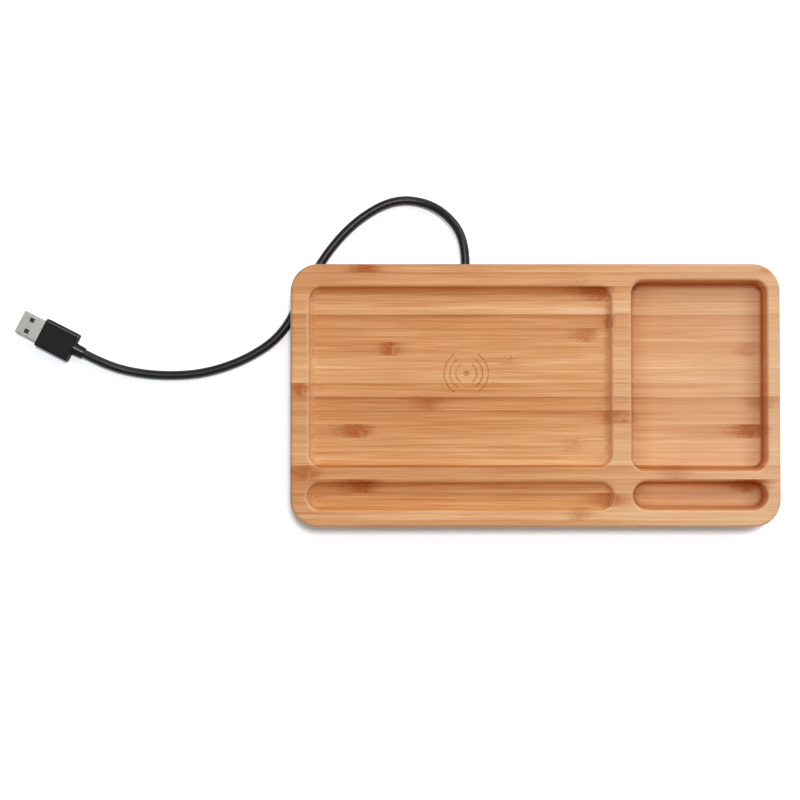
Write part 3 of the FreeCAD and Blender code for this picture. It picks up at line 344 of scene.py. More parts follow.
def grow_knuckles(board):
    """Dark sap that runs out along the fibres, a stain behind it, and a scar where the culm's ring was.

    Sap = 1 - distance along X, pushed by wisps, / run to that side. Each strip is drawn from another depth of the
    noises."""
    tree = board.tree
    depth = add(tree, "Math", {0: board.number, 1: STRIP_STEP, 2: board.z}, operation="MULTIPLY_ADD")
    board.depth = depth.outputs[0]
    own_place = add(tree, "CombineXYZ", {0: board.x, 1: board.y, 2: board.depth})
    swirl = add(tree, "TexNoise", {"Vector": own_place.outputs[0], "Scale": 1 / SWIRL, "Detail": 3.0})
    board.patchy, ripple, sway = add(tree, "SeparateColor", {0: swirl.outputs["Color"]}).outputs
    board.waver = add(tree, "Math", {0: sway, 1: 0.5}, operation="SUBTRACT").outputs[0]
    wisp_place = add(tree, "VectorMath", {0: own_place.outputs[0], 1: per_fibre(*SAP_WISP)}, operation="MULTIPLY")
    wisp = add(tree, "TexNoise", {"Vector": wisp_place.outputs[0], "Scale": 1.0, "Detail": 2.0})
    feather = add(tree, "Math", {0: wisp.outputs[0], 1: 0.5}, operation="SUBTRACT")
    left_reach, right_reach = STAIN_REACH
    reaches = []
    for spot in board.spots:
        at = add(tree, "Math", {0: spot, 1: KNUCKLE_SPAN, 2: -KNUCKLE_SPAN / 2}, operation="MULTIPLY_ADD")
        along = add(tree, "Math", {0: board.x, 1: at.outputs[0]}, operation="SUBTRACT")
        drift = add(tree, "Math", {0: feather.outputs[0], 1: WISP_PUSH, 2: along.outputs[0]},
                    operation="MULTIPLY_ADD")
        tail = add(tree, "MapRange", {0: drift.outputs[0], (1, 2): RUN_CHANGE, (3, 4): board.runs})
        away = add(tree, "Math", {0: drift.outputs[0]}, operation="ABSOLUTE")
        spent = add(tree, "Math", {0: away.outputs[0], 1: tail.outputs[0]}, operation="DIVIDE")
        flame = add(tree, "Math", {0: 1.0, 1: spent.outputs[0]}, operation="SUBTRACT")
        streak = add(tree, "MapRange", {0: along.outputs[0], 1: -left_reach, 2: 0.0})
        stain = only_where(tree, streak.outputs[0], (along.outputs[0], right_reach, 0.0))
        ring = add(tree, "Math", {0: ripple, 1: -SCAR_RIPPLE, 2: along.outputs[0]}, operation="MULTIPLY_ADD")
        beside = add(tree, "Math", {0: ring.outputs[0]}, operation="ABSOLUTE")
        scar = add(tree, "MapRange", {0: beside.outputs[0], (1, 2): SCAR_HALF_WIDTH, (3, 4): (1.0, 0.0)})
        distance = add(tree, "Math", {0: along.outputs[0]}, operation="ABSOLUTE")
        near = add(tree, "MapRange", {0: distance.outputs[0], (1, 2): (0.0, BEND_REACH), (3, 4): (1.0, 0.0)},
                   interpolation_type="SMOOTHSTEP")
        reaches.append((flame.outputs[0], stain, scar.outputs[0], near.outputs[0]))
    nearer = add(tree, "Math", {0: reaches[0][0], 1: reaches[1][0]}, operation="GREATER_THAN")
    first, second = board.darkness
    board.strength = add(tree, "Mix", {0: nearer.outputs[0], 2: second, 3: first}).outputs[0]
    board.flame, board.stain, board.scar, board.near = (
        add(tree, "Math", {0: one, 1: other}, operation="MAXIMUM").outputs[0] for one, other in zip(*reaches))


def grow_fibres(board):
    """Fine and broad fibres along X, which bend round a knuckle, and large clouds."""
    tree = board.tree
    bend = add(tree, "Math", {0: board.waver, 1: board.near}, operation="MULTIPLY")
    bent_y = add(tree, "Math", {0: bend.outputs[0], 1: FIBRE_BEND, 2: board.y}, operation="MULTIPLY_ADD")
    fibre_place = add(tree, "CombineXYZ", {0: board.x, 1: bent_y.outputs[0], 2: board.depth})
    fine_place, broad_place = (
        add(tree, "VectorMath", {0: fibre_place.outputs[0], 1: per_fibre(*size)}, operation="MULTIPLY").outputs[0]
        for size in (FINE_FIBRE, BROAD_FIBRE))
    fine = add(tree, "TexNoise", {"Vector": fine_place, "Scale": 1.0, "Detail": 3.0, "Roughness": 0.65})
    broad = add(tree, "TexNoise", {"Vector": broad_place, "Scale": 1.0, "Detail": 2.0, "Roughness": 0.5})
    cloud = add(tree, "TexNoise", {"Vector": board.place, "Scale": 1 / CLOUD, "Detail": 1.0})
    crisp = add(tree, "MapRange", {0: fine.outputs[0], (1, 2): CRISP_RANGE}, interpolation_type="SMOOTHSTEP")
    board.fine, board.broad, board.cloud, board.crisp = (node.outputs[0] for node in (fine, broad, cloud, crisp))


def wood_colour(board):
    """The strip's own tone, darker at its rear border, most so in a dark strip, and the fibres' tones on it.

    Tone = strip's tone + lean * (place across - 0.5 + border's shade) + paling along X + weight * (layer - 0.5) for
    each layer."""
    tree = board.tree
    lean = add(tree, "MapRange", {0: board.tone, (1, 2): DARK_TO_PALE, (3, 4): LEAN})
    leaned = add(tree, "Math", {0: lean.outputs[0], 1: board.offset}, operation="MULTIPLY")
    tone = add(tree, "Math", {0: leaned.outputs[0], 1: board.tone}, operation="ADD")
    border = add(tree, "MapRange", {0: board.inside, (1, 2): REAR_BORDER, 4: -BORDER_SHADE},
                 interpolation_type="SMOOTHSTEP")
    tone = add(tree, "Math", {0: border.outputs[0], 1: lean.outputs[0], 2: tone.outputs[0]},
               operation="MULTIPLY_ADD")
    # The board's tone rises along X from its left part to the middle.
    tone_rise = add(tree, "MapRange", {0: board.x, (1, 2): TONE_RISE_ALONG, 4: TONE_RISE})
    tone = add(tree, "Math", {0: tone.outputs[0], 1: tone_rise.outputs[0]}, operation="ADD")
    for layer, weight in zip((board.crisp, board.broad, board.cloud), LAYER_WEIGHTS):
        level = add(tree, "Math", {0: layer, 1: 0.5}, operation="SUBTRACT")
        tone = add(tree, "Math", {0: level.outputs[0], 1: weight, 2: tone.outputs[0]}, operation="MULTIPLY_ADD")
    wood = add(tree, "ValToRGB", {0: tone.outputs[0]})
    shape_ramp(wood, [(0.0, linear("AC622C")), (0.3, linear("C77E42")), (0.55, linear("D69358")),
                      (0.8, linear("E3A870")), (1.0, linear("EFC090"))])
    return wood.outputs[0]


def paint_sheen_to_right(board, colour):
    """Painted sheen: the board is painted paler towards its right end where it looks up."""
    tree = board.tree
    upward = add(tree, "MapRange", {0: board.up, (1, 2): LOOKS_UP}, interpolation_type="SMOOTHSTEP")
    painted_light = add(tree, "MapRange", {0: board.x, (1, 2): SHEEN_ALONG, 4: SHEEN})
    amount = add(tree, "Math", {0: painted_light.outputs[0], 1: upward.outputs[0]}, operation="MULTIPLY")
    return add(tree, "Mix", {0: amount.outputs[0], 6: colour, 7: linear("EBC29E")}, data_type="RGBA").outputs[2]


def soak_with_sap(board, colour):
    """Stain and sap round the knuckles, and the pale scars in them, which a knuckle at a strip's border hasn't got.

    A knuckle's sap is widest at its core and narrows along X, and the fibres show through it."""
    tree = board.tree
    width = add(tree, "Math", {0: board.waver, 1: SAP_WAVER, 2: board.inside}, operation="MULTIPLY_ADD")
    beyond = add(tree, "Math", {0: width.outputs[0], 1: board.core}, operation="SUBTRACT")
    apart = add(tree, "Math", {0: beyond.outputs[0]}, operation="ABSOLUTE")
    wedge = add(tree, "Math", {0: apart.outputs[0], 1: -SAP_NARROWING, 2: board.flame}, operation="MULTIPLY_ADD")
    veins = add(tree, "Math", {0: board.broad, 1: -SAP_VEINS, 2: SAP_VEINS / 2}, operation="MULTIPLY_ADD")
    smear = add(tree, "Math", {0: wedge.outputs[0], 1: veins.outputs[0]}, operation="ADD")
    soaked = add(tree, "MapRange", {0: smear.outputs[0], (1, 2): SAP_EDGE, 4: board.strength},
                 interpolation_type="SMOOTHSTEP")
    grain = add(tree, "MapRange", {0: board.crisp, (3, 4): SAP_BY_FIBRE})
    sap = add(tree, "Math", {0: soaked.outputs[0], 1: grain.outputs[0]}, operation="MULTIPLY", use_clamp=True)
    board.sap = sap.outputs[0]
    stained = add(tree, "Math", {0: board.stain, 1: board.strength}, operation="MULTIPLY")
    faint = add(tree, "Math", {0: stained.outputs[0], 1: STAINED}, operation="MULTIPLY")
    reddened = add(tree, "Mix", {0: faint.outputs[0], 6: colour, 7: linear("BC6C36")}, data_type="RGBA")
    darkened = add(tree, "Mix", {0: board.sap, 6: reddened.outputs[2], 7: linear("AD5B2B")}, data_type="RGBA")
    aside = add(tree, "Math", {0: board.core, 1: 0.5}, operation="SUBTRACT")
    to_border = add(tree, "Math", {0: aside.outputs[0]}, operation="ABSOLUTE")
    lower = add(tree, "MapRange", {0: width.outputs[0], (1, 2): SCAR_SIDE, (3, 4): SCARRED})
    pale = only_where(tree, lower.outputs[0], (board.scar, 0.0, 1.0), (to_border.outputs[0], *SCAR_CORES),
                      (board.sap, 0.0, 1.0))
    return add(tree, "Mix", {0: pale, 6: darkened.outputs[2], 7: linear("E6AE74")}, data_type="RGBA").outputs[2]


def glue(board, colour):
    """Glue lines between the strips, some plainer than others."""
    tree = board.tree
    edge = add(tree, "Math", {0: board.offset}, operation="ABSOLUTE")
    seam = add(tree, "MapRange", {0: edge.outputs[0], (1, 2): GLUE_LINE}, interpolation_type="SMOOTHSTEP")
    plain = add(tree, "MapRange", {0: board.draw, (3, 4): GLUED})
    amount = add(tree, "Math", {0: seam.outputs[0], 1: plain.outputs[0]}, operation="MULTIPLY")
    return add(tree, "Mix", {0: amount.outputs[0], 6: colour, 7: linear("A0622F")}, data_type="RGBA").outputs[2]


def cut_ends(board, colour):
    """End grain: the fibre bundles are cut across and show as dark dots on drier wood."""
    tree = board.tree
    end = add(tree, "MapRange", {0: board.facing, (1, 2): CUT_TO_SIDE}, interpolation_type="SMOOTHSTEP")
    dot_place = add(tree, "VectorMath", {0: board.place, 1: BUNDLE_RUN}, operation="MULTIPLY")
    dots = add(tree, "TexVoronoi", {"Vector": dot_place.outputs[0], "Scale": 1 / FIBRE_BUNDLE})
    dotted = add(tree, "ValToRGB", {0: dots.outputs["Distance"]})
    shape_ramp(dotted, [(0.1, linear("E6D6C4")), (0.4, linear("FFFFFF"))])
    dry = add(tree, "Mix", {0: DRY_ENDS, 6: colour, 7: linear("F0CBA6")}, data_type="RGBA")
    cut = add(tree, "Mix", {0: 1.0, 6: dry.outputs[2], 7: dotted.outputs[0]}, data_type="RGBA",
              blend_type="MULTIPLY")
    return add(tree, "Mix", {0: end.outputs[0], 6: colour, 7: cut.outputs[2]}, data_type="RGBA").outputs[2]


def find_compartments(board):
    """1 inside the compartments and on the rim between them, 0 on the board's outer sides and corners."""
    tree = board.tree
    sides = [add(tree, "Math", {0: side}, operation="ABSOLUTE").outputs[0] for side in (board.x, board.y)]
    sides.append(add(tree, "Math", {0: sides[0], 1: sides[1]}, operation="ADD").outputs[0])
    inner = [add(tree, "Math", {0: side, 1: most}, operation="LESS_THAN").outputs[0]
             for side, most in zip(sides, WALLS_WITHIN)]
    both = add(tree, "Math", {0: inner[0], 1: inner[1]}, operation="MINIMUM")
    board.within = add(tree, "Math", {0: both.outputs[0], 1: inner[2]}, operation="MINIMUM").outputs[0]


def paint_wall_shade(board, colour):
    """Painted shade and bounced light: the walls at the rear and right, which face away from the lamps, are tinted
    red where they aren't soaked with sap, as painted warm light bounced into their shade, and all walls are painted
    darker deep down, most the foot of the side bay's rear wall, as painted shade and shadow."""
    tree = board.tree
    steep = add(tree, "MapRange", {0: board.up, (1, 2): STEEP_WALL}, interpolation_type="SMOOTHSTEP")
    wall = add(tree, "Math", {0: steep.outputs[0], 1: board.within}, operation="MULTIPLY")
    turns = add(tree, "Math", {0: board.right, 1: board.rear}, operation="MINIMUM")
    turned_away = add(tree, "MapRange", {0: turns.outputs[0], (1, 2): WARM_BOUNCE_TO_SIDE},
                      interpolation_type="SMOOTHSTEP")
    down = add(tree, "MapRange", {0: board.z, (1, 2): WALL_SHADE_HEIGHTS}, interpolation_type="SMOOTHSTEP")
    bounce_amount = add(tree, "MapRange", {0: down.outputs[0], (3, 4): WARM_BOUNCE})
    # Painted warm light bounced into the shade of the rear and right walls
    bounce_tint = add(tree, "Mix", {0: down.outputs[0], 6: linear("FF8A46"), 7: linear("E8641E")}, data_type="RGBA")
    red = only_where(tree, bounce_amount.outputs[0], (wall.outputs[0], 0.0, 1.0), (turned_away.outputs[0], 0.0, 1.0),
                     (board.sap, 1.0, 0.0))
    bounce_tinted = add(tree, "Mix", {0: red, 6: colour, 7: bounce_tint.outputs[2]}, data_type="RGBA")
    # Painted shade deep down on the walls, and a painted shadow at the foot of the side bay's rear wall
    deep_shade = add(tree, "Math", {0: down.outputs[0], 1: DEEP_WALL_SHADE}, operation="MULTIPLY")
    deep_shade = only_where(tree, deep_shade.outputs[0], (wall.outputs[0], 0.0, 1.0))
    foot = add(tree, "MapRange", {0: board.rear, (1, 2): SHADOWED_FOOT_TO_REAR, 4: FOOT_SHADOW})
    foot = only_where(tree, foot.outputs[0], (board.y, *SHADOWED_FOOT_ALONG_Y), (board.z, *SHADOWED_FOOT_HEIGHTS),
                      (board.within, 0.0, 1.0))
    painted_shade = add(tree, "Math", {0: deep_shade, 1: foot}, operation="MAXIMUM")
    return add(tree, "Mix", {0: painted_shade.outputs[0], 6: bounce_tinted.outputs[2], 7: linear("8E3F1A")},
               data_type="RGBA").outputs[2]


def paint_shade_at_ends(board, colour):
    """Painted shade: the feet of the side bay's and the short groove's ends are painted darker where the end walls
    shade them.
    """
    tree = board.tree
    left, right = (add(tree, "MapRange", {0: board.x, (1, 2): reach}).outputs[0] for reach in SHADED_ENDS)
    near_end = add(tree, "Math", {0: left, 1: right}, operation="MAXIMUM")
    end_shade = only_where(tree, near_end.outputs[0], (board.z, *SHADED_END_HEIGHTS), (board.up, *NOT_OVERHANGING),
                          (board.within, 0.0, 1.0))
    return add(tree, "Mix", {0: end_shade, 6: colour, 7: linear("ECE5E2")}, data_type="RGBA",
               blend_type="MULTIPLY").outputs[2]


def paint_cove_highlights(board, colour):
    """Painted highlight: the coves at the left ends of the phone bay and the long groove are painted paler where they
    turn to the right, towards the lamps.
    """
    tree = board.tree
    cove = add(tree, "MapRange", {0: board.right, (1, 2): COVE_TO_RIGHT, 4: COVE_HIGHLIGHT})
    below, above = COVE_HEIGHTS
    amount = only_where(tree, cove.outputs[0], (board.up, *COVE_LOOKS_UP), (board.z, *below), (board.z, *above))
    return add(tree, "Mix", {0: amount, 6: colour, 7: linear("F0D8C8")}, data_type="RGBA").outputs[2]


def burn_mark(board, colour):
    """The mark's grooves are burnt, in some places more than in others."""
    tree = board.tree
    off = add(tree, "VectorMath", {0: board.place, 1: (*MARK_CENTRE, BAY_FLOOR)}, operation="DISTANCE")
    singed = add(tree, "MapRange", {0: board.patchy, (1, 2): SINGED_RANGE, (3, 4): SINGED})
    amount = only_where(tree, singed.outputs[0], (off.outputs["Value"], *MARK_AREA), (board.z, *BURNT_HEIGHTS))
    return add(tree, "Mix", {0: amount, 6: colour, 7: linear("9C5E32")}, data_type="RGBA").outputs[2]


def paint_rim_light_and_shade(board, colour):
    """The rim is painted paler as a painted highlight, most so its arrises across the fibres, and the upper half of
    the phone bay's right wall, which lies in shade, is painted paler as painted light. Sap stays dark, and the outer
    arris, which faces away from the lamps, is painted darker as painted shade."""
    tree = board.tree
    top = add(tree, "MapRange", {0: board.z, (1, 2): TOP_HEIGHTS}, interpolation_type="SMOOTHSTEP")
    round_over = add(tree, "MapRange", {0: board.up, (1, 2): ROUNDED_OVER}, interpolation_type="SMOOTHSTEP")
    arris = add(tree, "Math", {0: top.outputs[0], 1: round_over.outputs[0]}, operation="MULTIPLY")
    board.arris = arris.outputs[0]
    crossing = add(tree, "MapRange", {0: board.facing, (1, 2): CROSSING_TO_SIDE, (3, 4): RIM_HIGHLIGHT})
    ends = add(tree, "Mix", {0: board.within, 2: RIM_HIGHLIGHT[0], 3: crossing.outputs[0]})
    rim = add(tree, "Math", {0: top.outputs[0], 1: ends.outputs[0]}, operation="MULTIPLY")
    right_wall_light = add(tree, "MapRange", {0: board.right, (1, 2): RIGHT_WALL_LIGHT_TO_RIGHT, 4: RIGHT_WALL_LIGHT})
    right_wall_light = only_where(tree, right_wall_light.outputs[0], (board.z, *RIGHT_WALL_LIGHT_HEIGHTS), (board.x, *LEFT_OF_DIVIDER),
                        (board.within, 0.0, 1.0))
    rubbed = add(tree, "Math", {0: rim.outputs[0], 1: right_wall_light}, operation="MAXIMUM")
    rubbed = only_where(tree, rubbed.outputs[0], (board.sap, 1.0, 0.0))
    # Painted highlight on the rim, and painted light on the phone bay's right wall
    painted_light = add(tree, "Mix", {0: rubbed, 6: colour, 7: linear("F2CFA8")}, data_type="RGBA")
    # Painted shade on the outer arris
    falling = add(tree, "MapRange", {0: board.up, (1, 2): OUTER_ARRIS, 4: OUTER_ARRIS_SHADE})
    arris_shade = only_where(tree, falling.outputs[0], (top.outputs[0], 0.0, 1.0), (board.within, 1.0, 0.0))
    return add(tree, "Mix", {0: arris_shade, 6: painted_light.outputs[2], 7: linear("6E3F20")}, data_type="RGBA").outputs[2]


def bamboo():
    """Glued, milled and oiled bamboo: strips of their own tone, long fibres, knuckles, dotted end grain."""
    material, tree, shader, place, normal = new_material("bamboo_glued_milled_oiled")
    board = SimpleNamespace(tree=tree, place=place)
    board.x, board.y, board.z = add(tree, "SeparateXYZ", {0: place}).outputs
    board.right, board.rear, board.up = add(tree, "SeparateXYZ", {0: normal}).outputs
    board.facing = add(tree, "Math", {0: board.right}, operation="ABSOLUTE").outputs[0]
    for step in (lay_strips, grow_knuckles, grow_fibres, find_compartments):
        step(board)
    colour = wood_colour(board)
    # Of these steps, the sheen to the right, the walls' shade, the shade at the ends, the cove highlights and the
    # rim's highlight and shade paint light and shade into the colour.
    for step in (paint_sheen_to_right, soak_with_sap, glue, cut_ends, paint_wall_shade, paint_shade_at_ends, paint_cove_highlights, burn_mark, paint_rim_light_and_shade):
        colour = step(board, colour)
    tree.links.new(colour, shader.inputs["Base Color"])

    # All arrises are sanded finer and gleam, but not where sap has soaked them
    rough = add(tree, "MapRange", {0: board.fine, (1, 2): NOISE_RANGE, (3, 4): WOOD_ROUGHNESS})
    sanded = add(tree, "Mix", {0: board.arris, 2: rough.outputs[0], 3: ARRIS_ROUGHNESS})
    tree.links.new(sanded.outputs[0], shader.inputs["Roughness"])
    gleam = add(tree, "MapRange", {0: board.arris, (3, 4): WOOD_GLEAM})
    gleam = only_where(tree, gleam.outputs[0], (board.sap, 1.0, 0.0))
    tree.links.new(gleam, shader.inputs["Specular IOR Level"])
    relief = add(tree, "Bump", {"Strength": 0.35, "Distance": WOOD_RELIEF * MM, "Height": board.fine})
    tree.links.new(relief.outputs[0], shader.inputs["Normal"])
    shader.inputs["IOR"].default_value = 1.5
    shader.inputs["Specular IOR Level"].default_value = WOOD_GLEAM[0]
    return material


def speckled(name, dark, light, grain, roughness, metallic=0.0, relief=0.02, stretch=(1, 1, 1), ior=1.5, gleam=0.5,
             rubbed=None):
    """A surface whose colour, gloss and relief vary with one noise of a given grain size in mm.

    Where it begins to turn to the side on which it is rubbed, it is glossier."""
    material, tree, shader, place, normal = new_material(name)
    drawn = add(tree, "VectorMath", {0: place, 1: stretch}, operation="MULTIPLY")
    noise = add(tree, "TexNoise", {"Vector": drawn.outputs[0], "Scale": 1 / grain, "Detail": 4.0, "Roughness": 0.6})
    colour = add(tree, "ValToRGB", {0: noise.outputs[0]})
    shape_ramp(colour, list(zip(NOISE_RANGE, (linear(dark), linear(light)))))
    tree.links.new(colour.outputs[0], shader.inputs["Base Color"])
    gloss = add(tree, "MapRange", {0: noise.outputs[0], (1, 2): NOISE_RANGE, (3, 4): roughness})
    if rubbed:
        turn = add(tree, "VectorMath", {0: normal, 1: rubbed}, operation="DOT_PRODUCT").outputs["Value"]
        begun = add(tree, "MapRange", {0: turn, (1, 2): SHOULDER_BEGINS})
        worn = only_where(tree, begun.outputs[0], (turn, *SHOULDER_ENDS))
        gloss = add(tree, "Mix", {0: worn, 2: gloss.outputs[0], 3: RUBBED_ROUGHNESS})
        shine = add(tree, "Mix", {0: worn, 2: gleam, 3: RUBBED_GLEAM})
        tree.links.new(shine.outputs[0], shader.inputs["Specular IOR Level"])
    tree.links.new(gloss.outputs[0], shader.inputs["Roughness"])
    bump = add(tree, "Bump", {"Strength": 0.5, "Distance": relief * MM, "Height": noise.outputs[0]})
    tree.links.new(bump.outputs[0], shader.inputs["Normal"])
    shader.inputs["Metallic"].default_value = metallic
    if not metallic:
        shader.inputs["IOR"].default_value = ior
        shader.inputs["Specular IOR Level"].default_value = gleam
    return material


finishes = {
    # Long pale and dark fibres under oil, satin
    "bamboo": bamboo(),
    # Spark-eroded mould texture, a fine matt grain
    "cover": speckled("abs_black_spark_eroded", "17171A", "242427", 0.35, (0.55, 0.7), relief=0.03),
    # Moulded rubber with a dull bloom
    "rubber": speckled("rubber_black_moulded", "151515", "222221", 0.8, (0.72, 0.85), relief=0.02),
    # Zinc plate, slightly streaked and cloudy
    "steel": speckled("steel_zinc_plated", "9A9C9E", "C4C6C8", 1.2, (0.28, 0.45), 1.0, relief=0.01),
    # Warm metal under a glossy lacquer
    "copper": speckled("copper_wire_enamelled", "8E4E28", "B4683A", 0.5, (0.25, 0.4), 1.0, relief=0.02),
    # Dark and dull, with the fine speckle of its powder
    "ferrite": speckled("ferrite_sintered", "242427", "38383C", 0.3, (0.5, 0.7), relief=0.02),
    # Yellowish film, half glossy, with faint clouds of the glue below it
    "tape": speckled("polyester_film_adhesive", "CFC8B4", "E2DCCB", 2.0, (0.3, 0.4), relief=0.01),
    # Green resist, half glossy over the weave of the glass
    "board": speckled("glass_epoxy_solder_resist", "145A2C", "1E6E38", 0.6, (0.3, 0.4), relief=0.02),
    # Black and matt, with a fine grain
    "chip": speckled("epoxy_moulded_black", "18181A", "262628", 0.25, (0.5, 0.62), relief=0.01),
    # Brown and mottled, with the dull sheen of fired ceramic
    "capacitor": speckled("ceramic_fired_brown", "7E5E44", "A07C5C", 0.3, (0.35, 0.5), relief=0.01),
    # Extruded PVC, satin, with faint die lines
    "lead": speckled("pvc_black_extruded", "0C0C0D", "141415", 0.5, (0.34, 0.42), relief=0.01, gleam=0.4),
    # The same, dyed red
    "wire_red": speckled("pvc_red_extruded", "8E120C", "B01A12", 0.5, (0.35, 0.45), relief=0.01),
    # Moulded PVC with the matt texture of its mould, rubbed along the shoulder that is gripped
    "grip": speckled("pvc_black_moulded", "0F0F10", "171718", 0.3, (0.68, 0.76), relief=0.015, gleam=0.3,
                     rubbed=GRIPPED_SIDE),
    # Nickel plate over rolled sheet, satin, with its streaks drawn out
    "nickel": speckled("steel_nickel_plated_rolled", "B2B0AD", "C4C2BF", 0.35, (0.3, 0.38), 1.0, relief=0.006,
                       stretch=(0.2, 1, 1)),
    # Black and dull
    "tongue": speckled("pbt_black_moulded", "0E0E0F", "161617", 0.8, (0.5, 0.6), relief=0.01),
    # A thin bright flash of gold, smooth
    "gold": speckled("contact_gold_flashed", "B98E3A", "D9B462", 0.4, (0.2, 0.3), 1.0, relief=0.004),
}

NODE_FINISHES = {
    "tray_body": "bamboo", "foot_front_left": "rubber", "foot_front_right": "rubber", "foot_rear_left": "rubber",
    "foot_rear_right": "rubber", "foot_washers": "steel", "foot_screws": "steel", "bottom_cover": "cover",
    "cover_screws": "steel", "charging_coil": "copper", "coil_leads": "copper", "coil_tape": "tape",
    "ferrite_plate": "ferrite", "charger_board": "board", "board_screws": "steel", "controller_chip": "chip",
    "bridge_transistors": "chip", "resonant_capacitors": "capacitor", "filter_capacitors": "capacitor",
    "cable_grommet": "rubber", "cable_inside": "lead", "cable_clamp": "cover", "clamp_screws": "steel",
    "power_wire_black": "lead", "power_wire_red": "wire_red", "power_cable": "lead", "plug_body": "grip",
    "plug_shell": "nickel", "plug_tongue": "tongue", "plug_contacts": "gold",
}
for node, finish in NODE_FINISHES.items():
    nodes[node].data.materials.clear()
    nodes[node].data.materials.append(finishes[finish])


def new_piece(name, mesh, finish):
    """Puts a mesh or curve into the scene as a piece of the object."""
    piece = bpy.data.objects.new(name, mesh)
    bpy.context.scene.collection.objects.link(piece)
    mesh.materials.clear()
    mesh.materials.append(finishes[finish])
    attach(piece, "root")
    return piece


def make_lead():
    """The free lead: one smooth spline of order 3 whose control points are the route, with a round section."""
    curve = bpy.data.curves.new("power_lead", "CURVE")
    curve.dimensions = "3D"
    spline = curve.splines.new("NURBS")
    spline.points.add(len(LEAD_ROUTE) - 1)
    points = np.ones((len(LEAD_ROUTE), 4))
    points[:, :3] = np.array(LEAD_ROUTE) * MM
    spline.points.foreach_set("co", points.ravel())
    spline.order_u = 3
    spline.use_endpoint_u = True
    spline.resolution_u = 12
    curve.bevel_depth = LEAD_DIAMETER / 2 * MM
    curve.bevel_resolution = 6
    curve.use_fill_caps = True
    lead = new_piece("power_lead", curve, "lead")
    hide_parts("power_cable")


def mesh_of(name, points, faces):
    """A mesh from an array of points in mm and a list of faces."""
    mesh = bpy.data.meshes.new(name)
    mesh.from_pydata((np.asarray(points) * MM).tolist(), [], faces)
    mesh.update()
    return mesh


def ring_faces(rings, sides, first=0):
    """Quads between rings of equal point count, closed round each ring, with a cap on both ends."""
    row, column = np.meshgrid(np.arange(rings - 1), np.arange(sides), indexing="ij")
    here = first + row * sides + column
    beside = first + row * sides + (column + 1) % sides
    quads = np.stack([here, beside, beside + sides, here + sides], axis=-1).reshape(-1, 4)
    start = first + np.arange(sides)[::-1]
    end = first + (rings - 1) * sides + np.arange(sides)
    return quads.tolist() + [start.tolist(), end.tolist()]


def mark_cutter():
    """What the burning takes away: arcs of a trapezoid section, and a round dot in their middle.

    Point = centre + radius of the section's corner times (cos a, sin a), at the corner's height."""
    points, faces = [], []
    wide, narrow = MARK_LINE_WIDTH / 2, MARK_LINE_WIDTH / 2 * ARC_TAPER
    section = np.array([(wide, MARK_DEPTH), (narrow, -MARK_DEPTH), (-narrow, -MARK_DEPTH), (-wide, MARK_DEPTH)])
    sweep = np.linspace(-MARK_HALF_ANGLE, MARK_HALF_ANGLE, ARC_STEPS)
    height = np.broadcast_to(BAY_FLOOR + section[None, :, 1], (ARC_STEPS, len(section)))
    for radius in MARK_RADII:
        for middle in (0.0, 180.0):
            angle = np.radians(middle + sweep)[:, None]
            reach = radius + section[None, :, 0]
            arc = np.stack([MARK_CENTRE[0] + reach * np.cos(angle), MARK_CENTRE[1] + reach * np.sin(angle), height],
                           axis=-1)
            faces += ring_faces(ARC_STEPS, len(section), sum(len(part) for part in points))
            points.append(arc.reshape(-1, 3))
    angle = np.linspace(0, 2 * np.pi, DOT_STEPS, endpoint=False)
    dot = [np.stack([MARK_CENTRE[0] + radius * np.cos(angle), MARK_CENTRE[1] + radius * np.sin(angle),
                     np.full(DOT_STEPS, BAY_FLOOR + level)], axis=-1)
           for radius, level in ((MARK_DOT_RADIUS * DOT_TAPER, -MARK_DEPTH), (MARK_DOT_RADIUS, MARK_DEPTH))]
    faces += ring_faces(2, DOT_STEPS, sum(len(part) for part in points))
    return np.concatenate(points + dot), faces


def cross_cutter(places, arm, width, depth, level):
    """Cross recesses in screw heads that face down: a plus-shaped outline that narrows with depth.

    The outline is a quarter of three points, turned four times about the screw's axis."""
    half, side = arm / 2, width / 2
    quarter = np.array([(half, -side), (half, side), (side, side)])
    turns = [np.array([[math.cos(a), -math.sin(a)], [math.sin(a), math.cos(a)]]) for a in np.arange(4) * math.pi / 2]
    plus = np.concatenate([quarter @ turn.T for turn in turns])
    points, faces = [], []
    for x, y in places:
        faces += ring_faces(2, len(plus), sum(len(part) for part in points))
        for scale, height in ((RECESS_MOUTH, level - RECESS_OVERCUT), (RECESS_TIP, level + depth)):
            points.append(np.column_stack([plus * scale + (x, y), np.full(len(plus), height)]))
    return np.concatenate(points), faces


